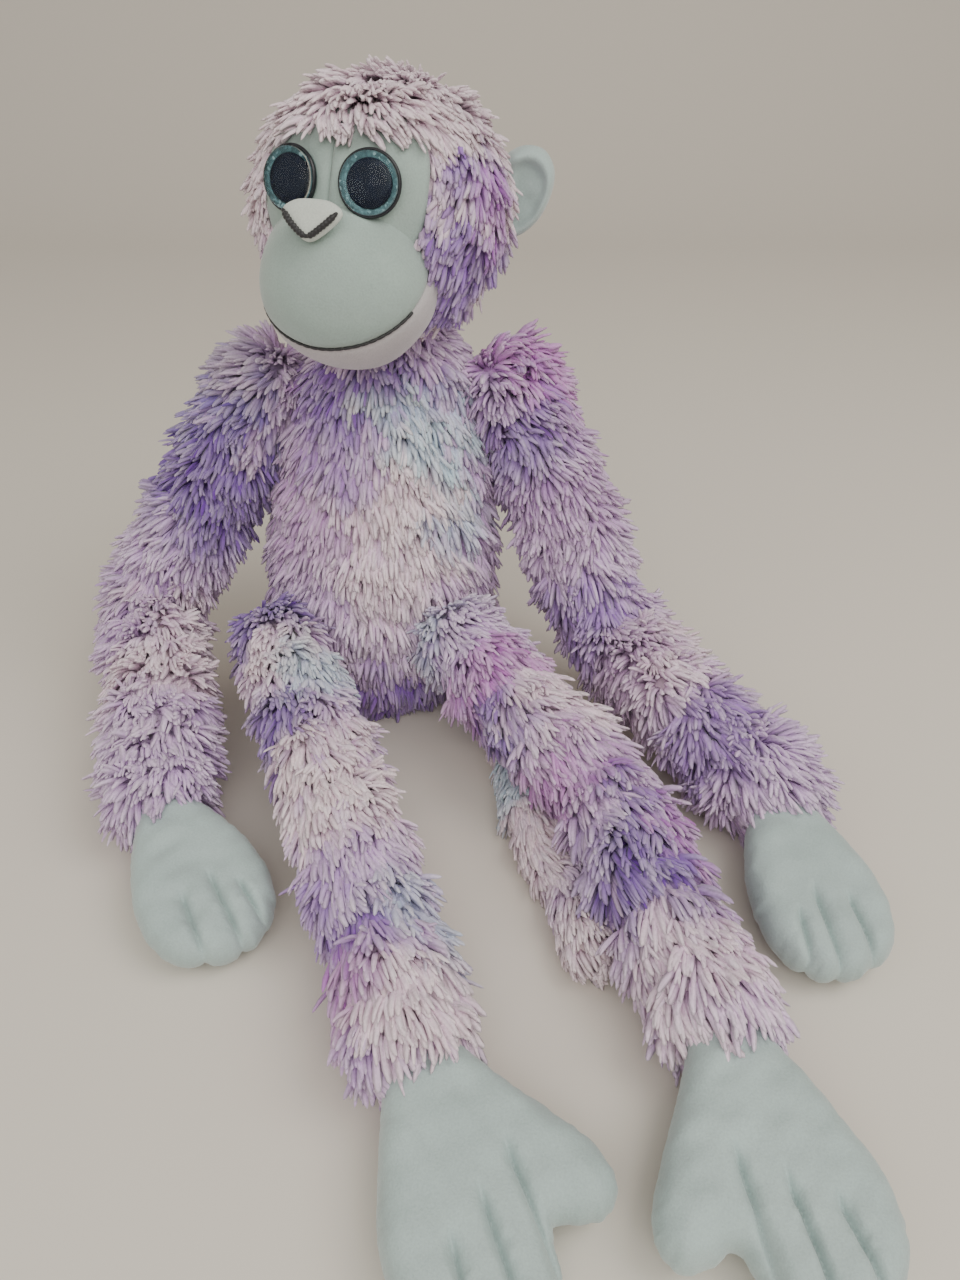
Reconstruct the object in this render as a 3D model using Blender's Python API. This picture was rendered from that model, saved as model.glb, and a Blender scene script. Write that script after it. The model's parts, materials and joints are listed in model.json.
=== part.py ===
"""A seated, long-limbed plush monkey: fur fabric covers sewn round stuffing, suede hands, feet and
face, plastic safety eyes. Metres, +Z up. It faces -Y, its left side is at +X, and the origin is on
the flat underside of its seat. Each limb piece has a domed root that sits in the open end of the
piece before it, and the dome's centre is the joint."""
import math

import bmesh
import bpy
from mathutils import Matrix, Vector

MM = 0.001
GAP = 0.4 * MM
FUR_THICK = 2.5 * MM
SUEDE_THICK = 1.0 * MM
LIMB_SIDES = 12
LIMB_STEPS = (0, 0.33, 0.66, 1)

# Torso: height above the floor, half width, half depth, and the centre's place along Y.
TORSO_RINGS = (
    (0, 25, 20, 8),
    (4, 33, 27, 9),
    (14, 40, 32, 11),
    (36, 44, 35, 14),
    (70, 44, 35, 19),
    (102, 41, 32, 27),
    (128, 38, 29, 34),
    (147, 33, 24, 38),
    (159, 21, 16, 39),
)
TORSO_TOP = 165
TORSO_TOP_BACK = 39.5
TORSO_SHIFT = 8 / 150
TORSO_SIDES = 18
SOCKET_GAP = 0.7 * MM
FAR = 150 * MM

# Neck and head.
NECK_AT = Vector((9, 38, 166)) * MM
NECK_RADIUS = 15 * MM
HEAD_AT = Vector((11, 30, 213)) * MM
HEAD_SIZE = Vector((45, 46, 46)) * MM
HEAD_TURN = math.radians(-19)
FACE_HALF = Vector((31, 0, 25)) * MM
FACE_AT = Vector((0, 0, 9)) * MM
FACE_INSET = 0.8 * MM
MUZZLE_AT = Vector((0, -34, -22)) * MM
MUZZLE_SIZE = Vector((33, 31, 31)) * MM
MOUTH_DROP = 21 * MM
MOUTH_SLOPE = math.radians(40)
EYE_X = 14.5 * MM
EYE_Z = 13 * MM

# Safety eyes: each is turned forward from the face's own slope, and its disc sits just off the fabric.
EYE_RADIUS = 10.9 * MM
EYE_FORWARD = math.radians(10)
EYE_BASE = 1.2 * MM
EYE_DISC_THICK = 1.4 * MM
EYE_ROOM = (-6 * MM, 12 * MM)
PUPIL_RADIUS = 7.8 * MM
PUPIL_THICK = 0.4 * MM
LENS_RIM = 0.6 * MM
LENS_RISE = 5 * MM
LENS_ANGLES = (20, 40, 60, 78)
SHANK_RADIUS = 2.2 * MM
SHANK_LENGTH = 9 * MM
SHANK_HOLE = (-11 * MM, 12 * MM)
WASHER_RADIUS = 6.5 * MM
WASHER_THICK = 1.2 * MM
WASHER_LOW = -4.6 * MM
WASHER_ROOM_RADIUS = 7 * MM
WASHER_ROOM = (-5.8 * MM, 2 * MM)

# Ears: a dished front panel and a rounded back panel, sewn at the rim.
EAR_AT = Vector((43, 21, 1)) * MM
EAR_TALL = 34 * MM
EAR_WIDE = 23 * MM
EAR_THICK = 8 * MM
EAR_OUT = math.radians(12)
EAR_ROOT_BACK = 2 * MM
EAR_ROOT_SHARE = 0.72
EAR_CLOTH = 0.9 * MM
EAR_SIDES = 16
EAR_WIDEST_AT = 0.45
EAR_SHARES = (1.0, 0.93, 0.72, 0.4)
EAR_FRONT_DEPTHS = (0.0, 0.8, 0.75, 0.3)
EAR_BACK_DEPTHS = (0.0, 0.7, 0.95, 1.0)
EAR_INNER_SHARE = 0.05

# Nose and embroidery.
NOSE_AT = Vector((0, -58.6, 3.5)) * MM
FACE_BLOCK_DEPTH = (-60 * MM, -12 * MM)
FACE_ROUNDNESS = 0.8
MUZZLE_SIDES = 18
BALL_CUTTER_SIDES = 16
BALL_CUTTER_ROWS = 10
SHANK_SIDES = 12
WASHER_SIDES = 16
NOSE_SIDES = 16
NOSE_TILT = math.radians(60)
NOSE_THICK = 4.6 * MM
NOSE_EDGE = ((1.6, -1.0), (0.4, -0.6), (0.0, 0.0), (0.4, 0.6), (1.6, 1.0))
NOSTRIL_STROKE = ((2.6, -8.2), (-2.4, -4), (-5, 0), (-2.4, 4), (2.6, 8.2))
NOSTRIL_THREAD = 0.7 * MM
MOUTH_THREAD = 0.6 * MM
MOUTH_REACH = 62
MOUTH_STEPS = 20

# Limbs: lengths between joints, radii at the root and at the far end.
UPPER_ARM = 114 * MM
FOREARM = 110 * MM
THIGH = 98 * MM
SHIN = 98 * MM
ARM_RADII = (17 * MM, 16.5 * MM, 16 * MM)
LEG_RADII = (20 * MM, 19 * MM, 18 * MM)
ARM_SETBACKS = (16 * MM, 10 * MM)
LEG_SETBACKS = (13 * MM, 11 * MM)
HAND_ROOT = 13 * MM
FOOT_ROOT = 14 * MM
SHOULDER = Vector((52.5, 36, 140)) * MM
SHOULDER_SHIFT = 8 * MM
HIP = Vector((40, -20, 43)) * MM
ARM_WAY = {
    "right": ((-0.493, -0.264, -0.828), (0.24, -0.945, -0.24), (0.52, -0.84, -0.12)),
    "left": ((0.393, -0.359, -0.846), (0.52, -0.84, -0.22), (0.12, -0.985, -0.12)),
}
LEG_WAY = {
    "right": ((0.37, -0.925, -0.125), (0.34, -0.935, -0.125), (0.26, -0.96, -0.09)),
    "left": ((0.545, -0.835, -0.125), (0.30, -0.95, -0.125), (0.30, -0.95, -0.09)),
}
HAND_THICK = 19 * MM
FOOT_THICK = 22 * MM
HAND_SIDES = 16
FOOT_SIDES = 22

# A pad's edge: how far each step is drawn in, in millimetres, and its share of the half thickness.
PAD_STEPS = ((0.0, 0.0), (0.0, 0.3), (1.8, 0.72), (5.2, 1.0))
PAD_LIFT = 0.15 * MM

# Outlines in millimetres, root first: along the limb, then across it with the thumb side positive.
HAND_OUTLINE = (
    (-11, 0), (-8, -9), (4, -12), (20, -19), (40, -24), (58, -23), (70, -14),
    (74, 0), (70, 14), (58, 22), (40, 23), (20, 19), (4, 12), (-8, 9),
)
FOOT_OUTLINE = (
    (-12, 0), (-9, -10), (4, -13), (24, -21), (46, -28), (66, -26), (78, -15), (81, -2),
    (76, 10), (62, 16), (56, 19), (61, 27), (57, 36), (45, 37), (30, 29), (14, 19), (2, 13), (-9, 10),
)
NOSE_OUTLINE = ((-8, 0), (-3, -6), (5, -11), (8, -6), (9, 0), (8, 6), (5, 11), (-3, 6))

# Tail: it comes round from the back and lies under the left leg.
TAIL_BASE_PATH = (
    (15, 50, 15),
    (38, 47, 9),
    (53, 26, 8.5),
    (55, -4, 8.5),
    (59, -40, 8.5),
    (66, -76, 8.5),
)
TAIL_TIP_PATH = ((66, -76, 8.5), (72, -104, 8.5), (80, -134, 8.5), (87, -160, 8.5))
TAIL_RADIUS = 8.0 * MM
TAIL_TAPER = 0.1 * MM
TAIL_FUR_THICK = 2.0 * MM
TAIL_SIDES = 8
TAIL_BASE_STEPS = 10
TAIL_TIP_STEPS = 5

# Domed ends of tubes: how far up the dome each ring lies.
DOME_TILTS = (18, 40, 66)

COLOURS = {
    "lilac_fur": ((0.44, 0.34, 0.50), 0.95),
    "cream_fur": ((0.62, 0.52, 0.56), 0.95),
    "fibrefill": ((0.85, 0.85, 0.82), 1.0),
    "mint_suede": ((0.42, 0.56, 0.52), 0.9),
    "black_thread": ((0.01, 0.01, 0.012), 0.6),
    "clear_plastic": ((0.10, 0.22, 0.24), 0.08),
    "glitter_plastic": ((0.04, 0.20, 0.21), 0.3),
    "black_plastic": ((0.01, 0.012, 0.02), 0.2),
    "white_plastic": ((0.7, 0.7, 0.68), 0.5),
}


def material(slot):
    """The one material of this name, made the first time it is asked for."""
    known = bpy.data.materials.get(slot)
    if known:
        return known
    colour, roughness = COLOURS[slot]
    made = bpy.data.materials.new(slot)
    made.use_nodes = True
    shader = made.node_tree.nodes["Principled BSDF"]
    shader.inputs["Base Color"].default_value = (*colour, 1)
    shader.inputs["Roughness"].default_value = roughness
    shader.inputs["Metallic"].default_value = 0
    return made


def empty(name, place, parent=None):
    """A joint's pivot, with nothing turned."""
    pivot = bpy.data.objects.new(name, None)
    bpy.context.scene.collection.objects.link(pivot)
    pivot["at"] = list(place)
    if parent:
        pivot.parent = parent
        pivot.location = place - Vector(parent["at"])
    else:
        pivot.location = place
    return pivot


def piece(name, mesh_parts, slot, pivot, inset=0.0):
    """An object from (vertices, faces) in world places, hung on its pivot; inset shrinks it evenly."""
    points, faces = mesh_parts
    at = Vector(pivot["at"])
    mesh = bpy.data.meshes.new(name)
    mesh.from_pydata([Vector(p) - at for p in points], [], faces)
    mesh.materials.append(material(slot))
    work = bmesh.new()
    work.from_mesh(mesh)
    bmesh.ops.recalc_face_normals(work, faces=work.faces)
    if inset:
        work.normal_update()
        moves = [v.normal * inset * v.calc_shell_factor() for v in work.verts]
        for vertex, move in zip(work.verts, moves):
            vertex.co -= move
    work.to_mesh(mesh)
    work.free()
    mesh.shade_smooth()
    made = bpy.data.objects.new(name, mesh)
    bpy.context.scene.collection.objects.link(made)
    made.parent = pivot
    return made


def cutter(name, mesh_parts, pivot):
    """A piece that only cuts others."""
    made = piece(name, mesh_parts, "white_plastic", pivot)
    made.hide_render = True
    made.display_type = "WIRE"
    return made


def cut(target, tool, operation="DIFFERENCE"):
    """The target less the tool, or only what they share."""
    modifier = target.modifiers.new("cut", "BOOLEAN")
    modifier.operation = operation
    modifier.solver = "EXACT"
    modifier.object = tool


def shell(target, thickness):
    """Turns a closed or open skin into a sheet of this thickness, inside the skin."""
    modifier = target.modifiers.new("fabric", "SOLIDIFY")
    modifier.thickness = thickness
    modifier.offset = -1
    modifier.use_even_offset = True


def grid_faces(rings, sides, closed_start, closed_end, first_pole, last_pole):
    """Quads between rings of points, with a pole or an n-gon at each closed end."""
    faces = []
    for r in range(rings - 1):
        for s in range(sides):
            t = (s + 1) % sides
            faces.append((r * sides + s, r * sides + t, (r + 1) * sides + t, (r + 1) * sides + s))
    last = (rings - 1) * sides
    if first_pole is not None:
        faces += [(first_pole, (s + 1) % sides, s) for s in range(sides)]
    elif closed_start:
        faces.append(tuple(reversed(range(sides))))
    if last_pole is not None:
        faces += [(last_pole, last + s, last + (s + 1) % sides) for s in range(sides)]
    elif closed_end:
        faces.append(tuple(last + s for s in range(sides)))
    return faces


def between(a, b, c, d, t):
    """The point at share t from b to c on a smooth curve through a, b, c and d."""
    straight = 2 * b + (c - a) * t
    bent = (2 * a - 5 * b + 4 * c - d) * t**2 + (3 * b - a - 3 * c + d) * t**3
    return 0.5 * (straight + bent)


def bent_line(points, count):
    """Evenly numbered points on a smooth curve through the given ones."""
    ends = [2 * points[0] - points[1], *points, 2 * points[-1] - points[-2]]
    spans = len(points) - 1
    line = []
    for k in range(count + 1):
        place = k / count * spans
        i = min(int(place), spans - 1)
        line.append(between(*ends[i : i + 4], place - i))
    return line


def tube(line, radii, sides, root="dome", end="open", inset=0.0):
    """A tube along a line. A dome root is centred on the line's first point; a dome end on its last."""
    final = len(line) - 1
    ways = [(line[min(i + 1, final)] - line[max(i - 1, 0)]).normalized() for i in range(len(line))]
    side = ways[0].cross(Vector((0, 0, 1))).normalized()
    rings = []

    def ring(centre, way, radius, across):
        other = way.cross(across).normalized()
        turn = [2 * math.pi * s / sides for s in range(sides)]
        rings.append([centre + radius * (math.cos(a) * across + math.sin(a) * other) for a in turn])

    first = radii[0] - inset
    if root == "dome":
        for angle in reversed(DOME_TILTS):
            tilt = math.radians(angle)
            ring(line[0] - ways[0] * first * math.sin(tilt), ways[0], first * math.cos(tilt), side)
    for i, centre in enumerate(line):
        side = (side - side.dot(ways[i]) * ways[i]).normalized()
        ring(centre, ways[i], radii[i] - inset, side)
    last = radii[-1] - inset
    if end == "dome":
        for angle in DOME_TILTS:
            tilt = math.radians(angle)
            ring(line[-1] + ways[-1] * last * math.sin(tilt), ways[-1], last * math.cos(tilt), side)
    points = [p for r in rings for p in r]
    first_pole = last_pole = None
    if root == "dome":
        first_pole = len(points)
        points.append(line[0] - ways[0] * first)
    if end == "dome":
        last_pole = len(points)
        points.append(line[-1] + ways[-1] * last)
    return points, grid_faces(len(rings), sides, root == "flat", end == "flat", first_pole, last_pole)


def ball(centre, size, around=20, rows=12, turn=Matrix()):
    """An ellipsoid; size holds its three half axes, turned about the centre."""
    points = []
    for r in range(1, rows):
        tilt = math.pi * r / rows
        for s in range(around):
            a = 2 * math.pi * s / around
            flat = Vector((math.sin(tilt) * math.cos(a), math.sin(tilt) * math.sin(a), math.cos(tilt)))
            points.append(flat)
    points += [Vector((0, 0, 1)), Vector((0, 0, -1))]
    points = [centre + turn @ Vector((p.x * size.x, p.y * size.y, p.z * size.z)) for p in points]
    return points, grid_faces(rows - 1, around, False, False, len(points) - 2, len(points) - 1)


def turned(profile, place, sides=20):
    """A profile of (radius, height) pairs, from axis to axis, turned about the place's Z."""
    inner = profile[1:-1]
    points = []
    for radius, height in inner:
        for s in range(sides):
            a = 2 * math.pi * s / sides
            points.append(Vector((radius * math.cos(a), radius * math.sin(a), height)))
    points += [Vector((0, 0, profile[0][1])), Vector((0, 0, profile[-1][1]))]
    points = [place @ p for p in points]
    return points, grid_faces(len(inner), sides, False, False, len(points) - 2, len(points) - 1)


def box(low, high, place=Matrix()):
    """A block between two corners."""
    ends = list(zip(low, high))
    points = [place @ Vector((x, y, z)) for x in ends[0] for y in ends[1] for z in ends[2]]
    return points, [(0, 1, 3, 2), (4, 6, 7, 5), (0, 4, 5, 1), (2, 3, 7, 6), (0, 2, 6, 4), (1, 5, 7, 3)]


def closed_outline(points, count):
    """A smooth closed outline through the given points, in metres."""
    flat = [Vector((u, v, 0)) * MM for u, v in points]
    n = len(flat)
    line = []
    for k in range(count):
        place = k / count * n
        i = int(place)
        line.append(between(*(flat[(i + j - 1) % n] for j in range(4)), place - i))
    return line


def drawn_in(outline, distance):
    """The outline moved inward along its own normals."""
    n = len(outline)
    moved = []
    for i, p in enumerate(outline):
        along = (outline[(i + 1) % n] - outline[i - 1]).normalized()
        moved.append(p + distance * Vector((-along.y, along.x, 0)))
    return moved


def pad(outline, thick, place, half=None, inset=0.0):
    """A padded flat shape: both halves closed, or one half as an open dish (half is 1 or -1)."""
    sides = len(outline)
    high = thick / 2 - inset
    steps = [(drawn_in(outline, inset + draw * MM), high * share) for draw, share in PAD_STEPS]
    if half:
        levels = [[Vector((p.x, p.y, half * (PAD_LIFT + h))) for p in ring] for ring, h in steps]
    else:
        levels = [[Vector((p.x, p.y, -h)) for p in ring] for ring, h in reversed(steps)]
        levels += [[Vector((p.x, p.y, h)) for p in ring] for ring, h in steps[1:]]
    points = [place @ p for ring in levels for p in ring]
    return points, grid_faces(len(levels), sides, not half, True, None, None)


def torso_points():
    """The torso's rings, leaning back, with a flat underside."""
    points = []
    for height, wide, deep, back in TORSO_RINGS:
        for s in range(TORSO_SIDES):
            a = 2 * math.pi * s / TORSO_SIDES
            across = wide * math.cos(a) + height * TORSO_SHIFT
            points.append(Vector((across, back + deep * math.sin(a), height)) * MM)
    pole = len(points)
    points.append(Vector((TORSO_TOP * TORSO_SHIFT, TORSO_TOP_BACK, TORSO_TOP)) * MM)
    return points, grid_faces(len(TORSO_RINGS), TORSO_SIDES, True, False, None, pole)


def along_way(start, ways, lengths):
    """The joints of a limb: its start and the end of each segment."""
    joints = [start]
    for way, length in zip(ways, lengths):
        joints.append(joints[-1] + Vector(way).normalized() * length)
    return joints


def limb_segment(name, start, finish, radii, pivot, setback, next_radius):
    """A fur tube from one joint to just before the next, and the stuffing in it."""
    way = (finish - start).normalized()
    length = (finish - start).length

    def line(stop):
        return [start + way * (length - stop) * s for s in LIMB_STEPS]

    def sizes(stop):
        reach = (length - stop) / length
        return [radii[0] + (radii[1] - radii[0]) * s * reach for s in LIMB_STEPS]

    skin = tube(line(setback), sizes(setback), LIMB_SIDES)
    shell(piece(name + "_fur_cover", skin, "lilac_fur", pivot), FUR_THICK)
    stop = next_radius + 2 * GAP
    inside = FUR_THICK + GAP
    piece(
        name + "_stuffing",
        tube(line(stop), sizes(stop), LIMB_SIDES, end="flat", inset=inside),
        "fibrefill",
        pivot,
    )


def limb(side, names, joints, pivots, radii, setbacks, tip_root):
    """The two fur tubes of an arm or a leg; tip_root is the radius of the hand's or foot's root."""
    ends = (radii[1], tip_root)
    for i, name in enumerate(names):
        span = (joints[i], joints[i + 1], radii[i : i + 2])
        limb_segment(f"{side}_{name}", *span, pivots[i], setbacks[i], ends[i])


def flat_place(start, way, thumb_side):
    """A frame whose X runs along the limb, Y across to the thumb side and Z up or down."""
    along = Vector(way).normalized()
    up = (Vector((0, 0, 1)) - along.z * along).normalized()
    across = up.cross(along)
    if thumb_side * across.x < 0:
        across = -across
    frame = Matrix((along, across, up)).transposed().to_4x4()
    frame.translation = start
    return frame


def extremity(names, outline, count, thick, place, pivot):
    """A hand or a foot: an upper and a lower suede panel round one stuffing."""
    upper, lower, inside = names
    shape = closed_outline(outline, count)
    for name, half in ((upper, 1), (lower, -1)):
        panel = piece(name, pad(shape, thick, place, half=half), "mint_suede", pivot)
        shell(panel, SUEDE_THICK)
    inset = SUEDE_THICK + 3 * GAP
    piece(inside, pad(shape, thick, place, inset=inset), "fibrefill", pivot)


def build_torso(root, sockets):
    cover = piece("torso_fur_cover", torso_points(), "lilac_fur", root)
    shell(cover, FUR_THICK)
    filling = piece("torso_stuffing", torso_points(), "fibrefill", root, inset=FUR_THICK + 2 * GAP)
    for name, (centre, radius) in sockets.items():
        reach = radius + SOCKET_GAP
        room = ball(centre, Vector((reach, reach, reach)), BALL_CUTTER_SIDES, BALL_CUTTER_ROWS)
        tool = cutter("cut_" + name, room, root)
        cut(cover, tool)
        cut(filling, tool)


def build_arm(side, root):
    sign = 1 if side == "left" else -1
    start = Vector((sign * SHOULDER.x + SHOULDER_SHIFT, SHOULDER.y, SHOULDER.z))
    ways = ARM_WAY[side]
    joints = along_way(start, ways, (UPPER_ARM, FOREARM))
    pivots = [empty(f"{side}_shoulder", joints[0], root)]
    pivots.append(empty(f"{side}_elbow", joints[1], pivots[0]))
    pivots.append(empty(f"{side}_wrist", joints[2], pivots[1]))
    limb(side, ("upper_arm", "forearm"), joints, pivots, ARM_RADII, ARM_SETBACKS, HAND_ROOT)
    place = flat_place(joints[2], ways[2], -sign)
    names = [f"{side}_hand_{part}" for part in ("back_panel", "palm_panel", "stuffing")]
    extremity(names, HAND_OUTLINE, HAND_SIDES, HAND_THICK, place, pivots[2])
    return joints[0]


def build_leg(side, root):
    sign = 1 if side == "left" else -1
    start = Vector((sign * HIP.x, HIP.y, HIP.z))
    ways = LEG_WAY[side]
    joints = along_way(start, ways, (THIGH, SHIN))
    pivots = [empty(f"{side}_hip", joints[0], root)]
    pivots.append(empty(f"{side}_knee", joints[1], pivots[0]))
    pivots.append(empty(f"{side}_ankle", joints[2], pivots[1]))
    limb(side, ("thigh", "shin"), joints, pivots, LEG_RADII, LEG_SETBACKS, FOOT_ROOT)
    place = flat_place(joints[2], ways[2], -sign)
    names = [f"{side}_foot_{part}" for part in ("top_panel", "sole_panel", "stuffing")]
    extremity(names, FOOT_OUTLINE, FOOT_SIDES, FOOT_THICK, place, pivots[2])
    return joints[0]


def build_tail(root):
    base = [Vector(p) * MM for p in TAIL_BASE_PATH]
    tip = [Vector(p) * MM for p in TAIL_TIP_PATH]
    base_pivot = empty("tail_root", base[0], root)
    tip_pivot = empty("tail_middle", tip[0], base_pivot)
    inside = TAIL_FUR_THICK + GAP
    line = bent_line(base, TAIL_BASE_STEPS)
    radii = [TAIL_RADIUS] * len(line)
    skin = tube(line[:-1], radii[:-1], TAIL_SIDES)
    shell(piece("tail_base_fur_cover", skin, "lilac_fur", base_pivot), TAIL_FUR_THICK)
    filling = tube(line[:-2], radii[:-2], TAIL_SIDES, end="flat", inset=inside)
    piece("tail_base_stuffing", filling, "fibrefill", base_pivot)
    line = bent_line(tip, TAIL_TIP_STEPS)
    radii = [TAIL_RADIUS - TAIL_TAPER * k for k in range(len(line))]
    skin = tube(line, radii, TAIL_SIDES, root="open", end="dome")
    shell(piece("tail_tip_fur_cover", skin, "lilac_fur", tip_pivot), TAIL_FUR_THICK)
    filling = tube(line, radii, TAIL_SIDES, root="dome", end="dome", inset=inside)
    piece("tail_tip_stuffing", filling, "fibrefill", tip_pivot)
    return base[0]


def surface_place(centre, size, point):
    """A frame on an ellipsoid at the given offset from its centre, with Z along the outward normal."""
    normal = Vector((point.x / size.x**2, point.y / size.y**2, point.z / size.z**2)).normalized()
    side = Vector((0, 0, 1)).cross(normal).normalized()
    frame = Matrix((side, normal.cross(side), normal)).transposed().to_4x4()
    frame.translation = centre + point
    return frame


def grown(size, by):
    """Half axes made larger by the same amount."""
    return size + Vector((by, by, by))


def on_ball(size, x, z):
    """The front point of an ellipsoid at this x and z."""
    return Vector((x, -size.y * math.sqrt(1 - (x / size.x) ** 2 - (z / size.z) ** 2), z))


def build_head(pivot, turn_frame):
    """The hood, the face, the muzzle, the nose and the mouth, in the head's own turned frame."""
    origin = Vector((0, 0, 0))

    def placed(parts):
        return [turn_frame @ p for p in parts[0]], parts[1]

    hood = piece("head_fur_hood", placed(ball(origin, HEAD_SIZE)), "cream_fur", pivot)
    shell(hood, FUR_THICK)
    inside = grown(HEAD_SIZE, -FUR_THICK - GAP)
    filling = piece("head_stuffing", placed(ball(origin, inside)), "fibrefill", pivot)

    neck = NECK_RADIUS + SOCKET_GAP
    neck_room = ball(NECK_AT, Vector((neck, neck, neck)), BALL_CUTTER_SIDES, BALL_CUTTER_ROWS)
    neck_tool = cutter("cut_head_neck", neck_room, pivot)
    cut(hood, neck_tool)
    cut(filling, neck_tool)
    muzzle_tool = cutter("cut_muzzle", placed(ball(MUZZLE_AT, grown(MUZZLE_SIZE, GAP), MUZZLE_SIDES)), pivot)
    face_tool = cutter("cut_face", placed(face_block(GAP)), pivot)
    cut(hood, face_tool)
    cut(hood, muzzle_tool)

    outer = cutter("face_outer", placed(ball(origin, grown(HEAD_SIZE, -FACE_INSET))), pivot)
    inner_size = grown(HEAD_SIZE, -FACE_INSET - SUEDE_THICK)
    inner = cutter("face_inner", placed(ball(origin, inner_size)), pivot)
    eye_rooms = []
    for side, sign in (("right", -1), ("left", 1)):
        panel = piece(f"face_panel_{side}", placed(face_block(0.0)), "mint_suede", pivot)
        ends = sorted((sign * GAP / 2, sign * FAR))
        half = cutter(f"{side}_of_seam", placed(box((ends[0], -FAR, -FAR), (ends[1], FAR, FAR))), pivot)
        cut(panel, half, "INTERSECT")
        cut(panel, outer, "INTERSECT")
        cut(panel, inner)
        cut(panel, muzzle_tool)
        spot = on_ball(grown(HEAD_SIZE, -FACE_INSET), sign * EYE_X, EYE_Z)
        place = turn_frame @ surface_place(origin, HEAD_SIZE, spot)
        place = place @ Matrix.Rotation(-sign * EYE_FORWARD, 4, "Y")
        build_eye(side, place, panel, filling, pivot)
        room = cylinder(EYE_RADIUS + GAP, EYE_ROOM)
        eye_rooms.append(cutter(f"cut_{side}_eye", turned(room, place), pivot))

    build_muzzle(pivot, placed, inside, eye_rooms)


def face_block(grow, rows=24):
    """A rounded block that reaches back through the face."""
    points = []
    for y in FACE_BLOCK_DEPTH:
        for s in range(rows):
            a = 2 * math.pi * s / rows
            round_x = math.copysign(abs(math.cos(a)) ** FACE_ROUNDNESS, math.cos(a))
            round_z = math.copysign(abs(math.sin(a)) ** FACE_ROUNDNESS, math.sin(a))
            x = (FACE_HALF.x + grow) * round_x
            points.append(Vector((x, y, FACE_AT.z + (FACE_HALF.z + grow) * round_z)))
    return points, grid_faces(2, rows, True, True, None, None)


def cylinder(radius, ends):
    """The profile of a plain round block between two heights."""
    return [(0, ends[1]), (radius, ends[1]), (radius, ends[0]), (0, ends[0])]


def build_eye(side, place, panel, filling, pivot):
    """A plastic safety eye: lens, pupil, glittered disc with its shank, and the washer that locks it."""
    hole = cylinder(SHANK_RADIUS + GAP, SHANK_HOLE)
    hole_tool = cutter(f"cut_{side}_shank", turned(hole, place, SHANK_SIDES), pivot)
    cut(panel, hole_tool)
    cut(filling, hole_tool)
    pocket = cylinder(WASHER_ROOM_RADIUS, WASHER_ROOM)
    cut(filling, cutter(f"cut_{side}_washer", turned(pocket, place, SHANK_SIDES), pivot))

    top = EYE_BASE + EYE_DISC_THICK
    disc = [
        (0, -SHANK_LENGTH),
        (SHANK_RADIUS, -SHANK_LENGTH),
        (SHANK_RADIUS, EYE_BASE),
        (EYE_RADIUS, EYE_BASE + GAP),
        (EYE_RADIUS, top),
        (0, top),
    ]
    piece(f"eye_{side}_iris_disc", turned(disc, place), "glitter_plastic", pivot)
    low = top + GAP
    pupil = cylinder(PUPIL_RADIUS, (low, low + PUPIL_THICK))
    piece(f"eye_{side}_pupil", turned(pupil, place), "black_plastic", pivot)
    low = low + PUPIL_THICK + GAP
    edge = low + LENS_RIM
    lens = [(0, low), (EYE_RADIUS, low), (EYE_RADIUS, edge)]
    for angle in LENS_ANGLES:
        a = math.radians(angle)
        lens.append((EYE_RADIUS * math.cos(a), edge + LENS_RISE * math.sin(a)))
    lens.append((0, edge + LENS_RISE))
    piece(f"eye_{side}_lens", turned(lens, place), "clear_plastic", pivot)

    inner = SHANK_RADIUS + GAP / 2
    high = WASHER_LOW + WASHER_THICK
    ring = [(inner, WASHER_LOW), (WASHER_RADIUS, WASHER_LOW), (WASHER_RADIUS, high), (inner, high)]
    piece(f"eye_{side}_lock_washer", ring_solid(ring, place, WASHER_SIDES), "white_plastic", pivot)


def ring_solid(profile, place, sides):
    """A closed profile turned about an axis it doesn't touch."""
    n = len(profile)
    points = []
    for s in range(sides):
        a = 2 * math.pi * s / sides
        points += [place @ Vector((r * math.cos(a), r * math.sin(a), z)) for r, z in profile]
    faces = []
    for s in range(sides):
        t = (s + 1) % sides
        for i in range(n):
            j = (i + 1) % n
            faces.append((s * n + i, t * n + i, t * n + j, s * n + j))
    return points, faces


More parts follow.
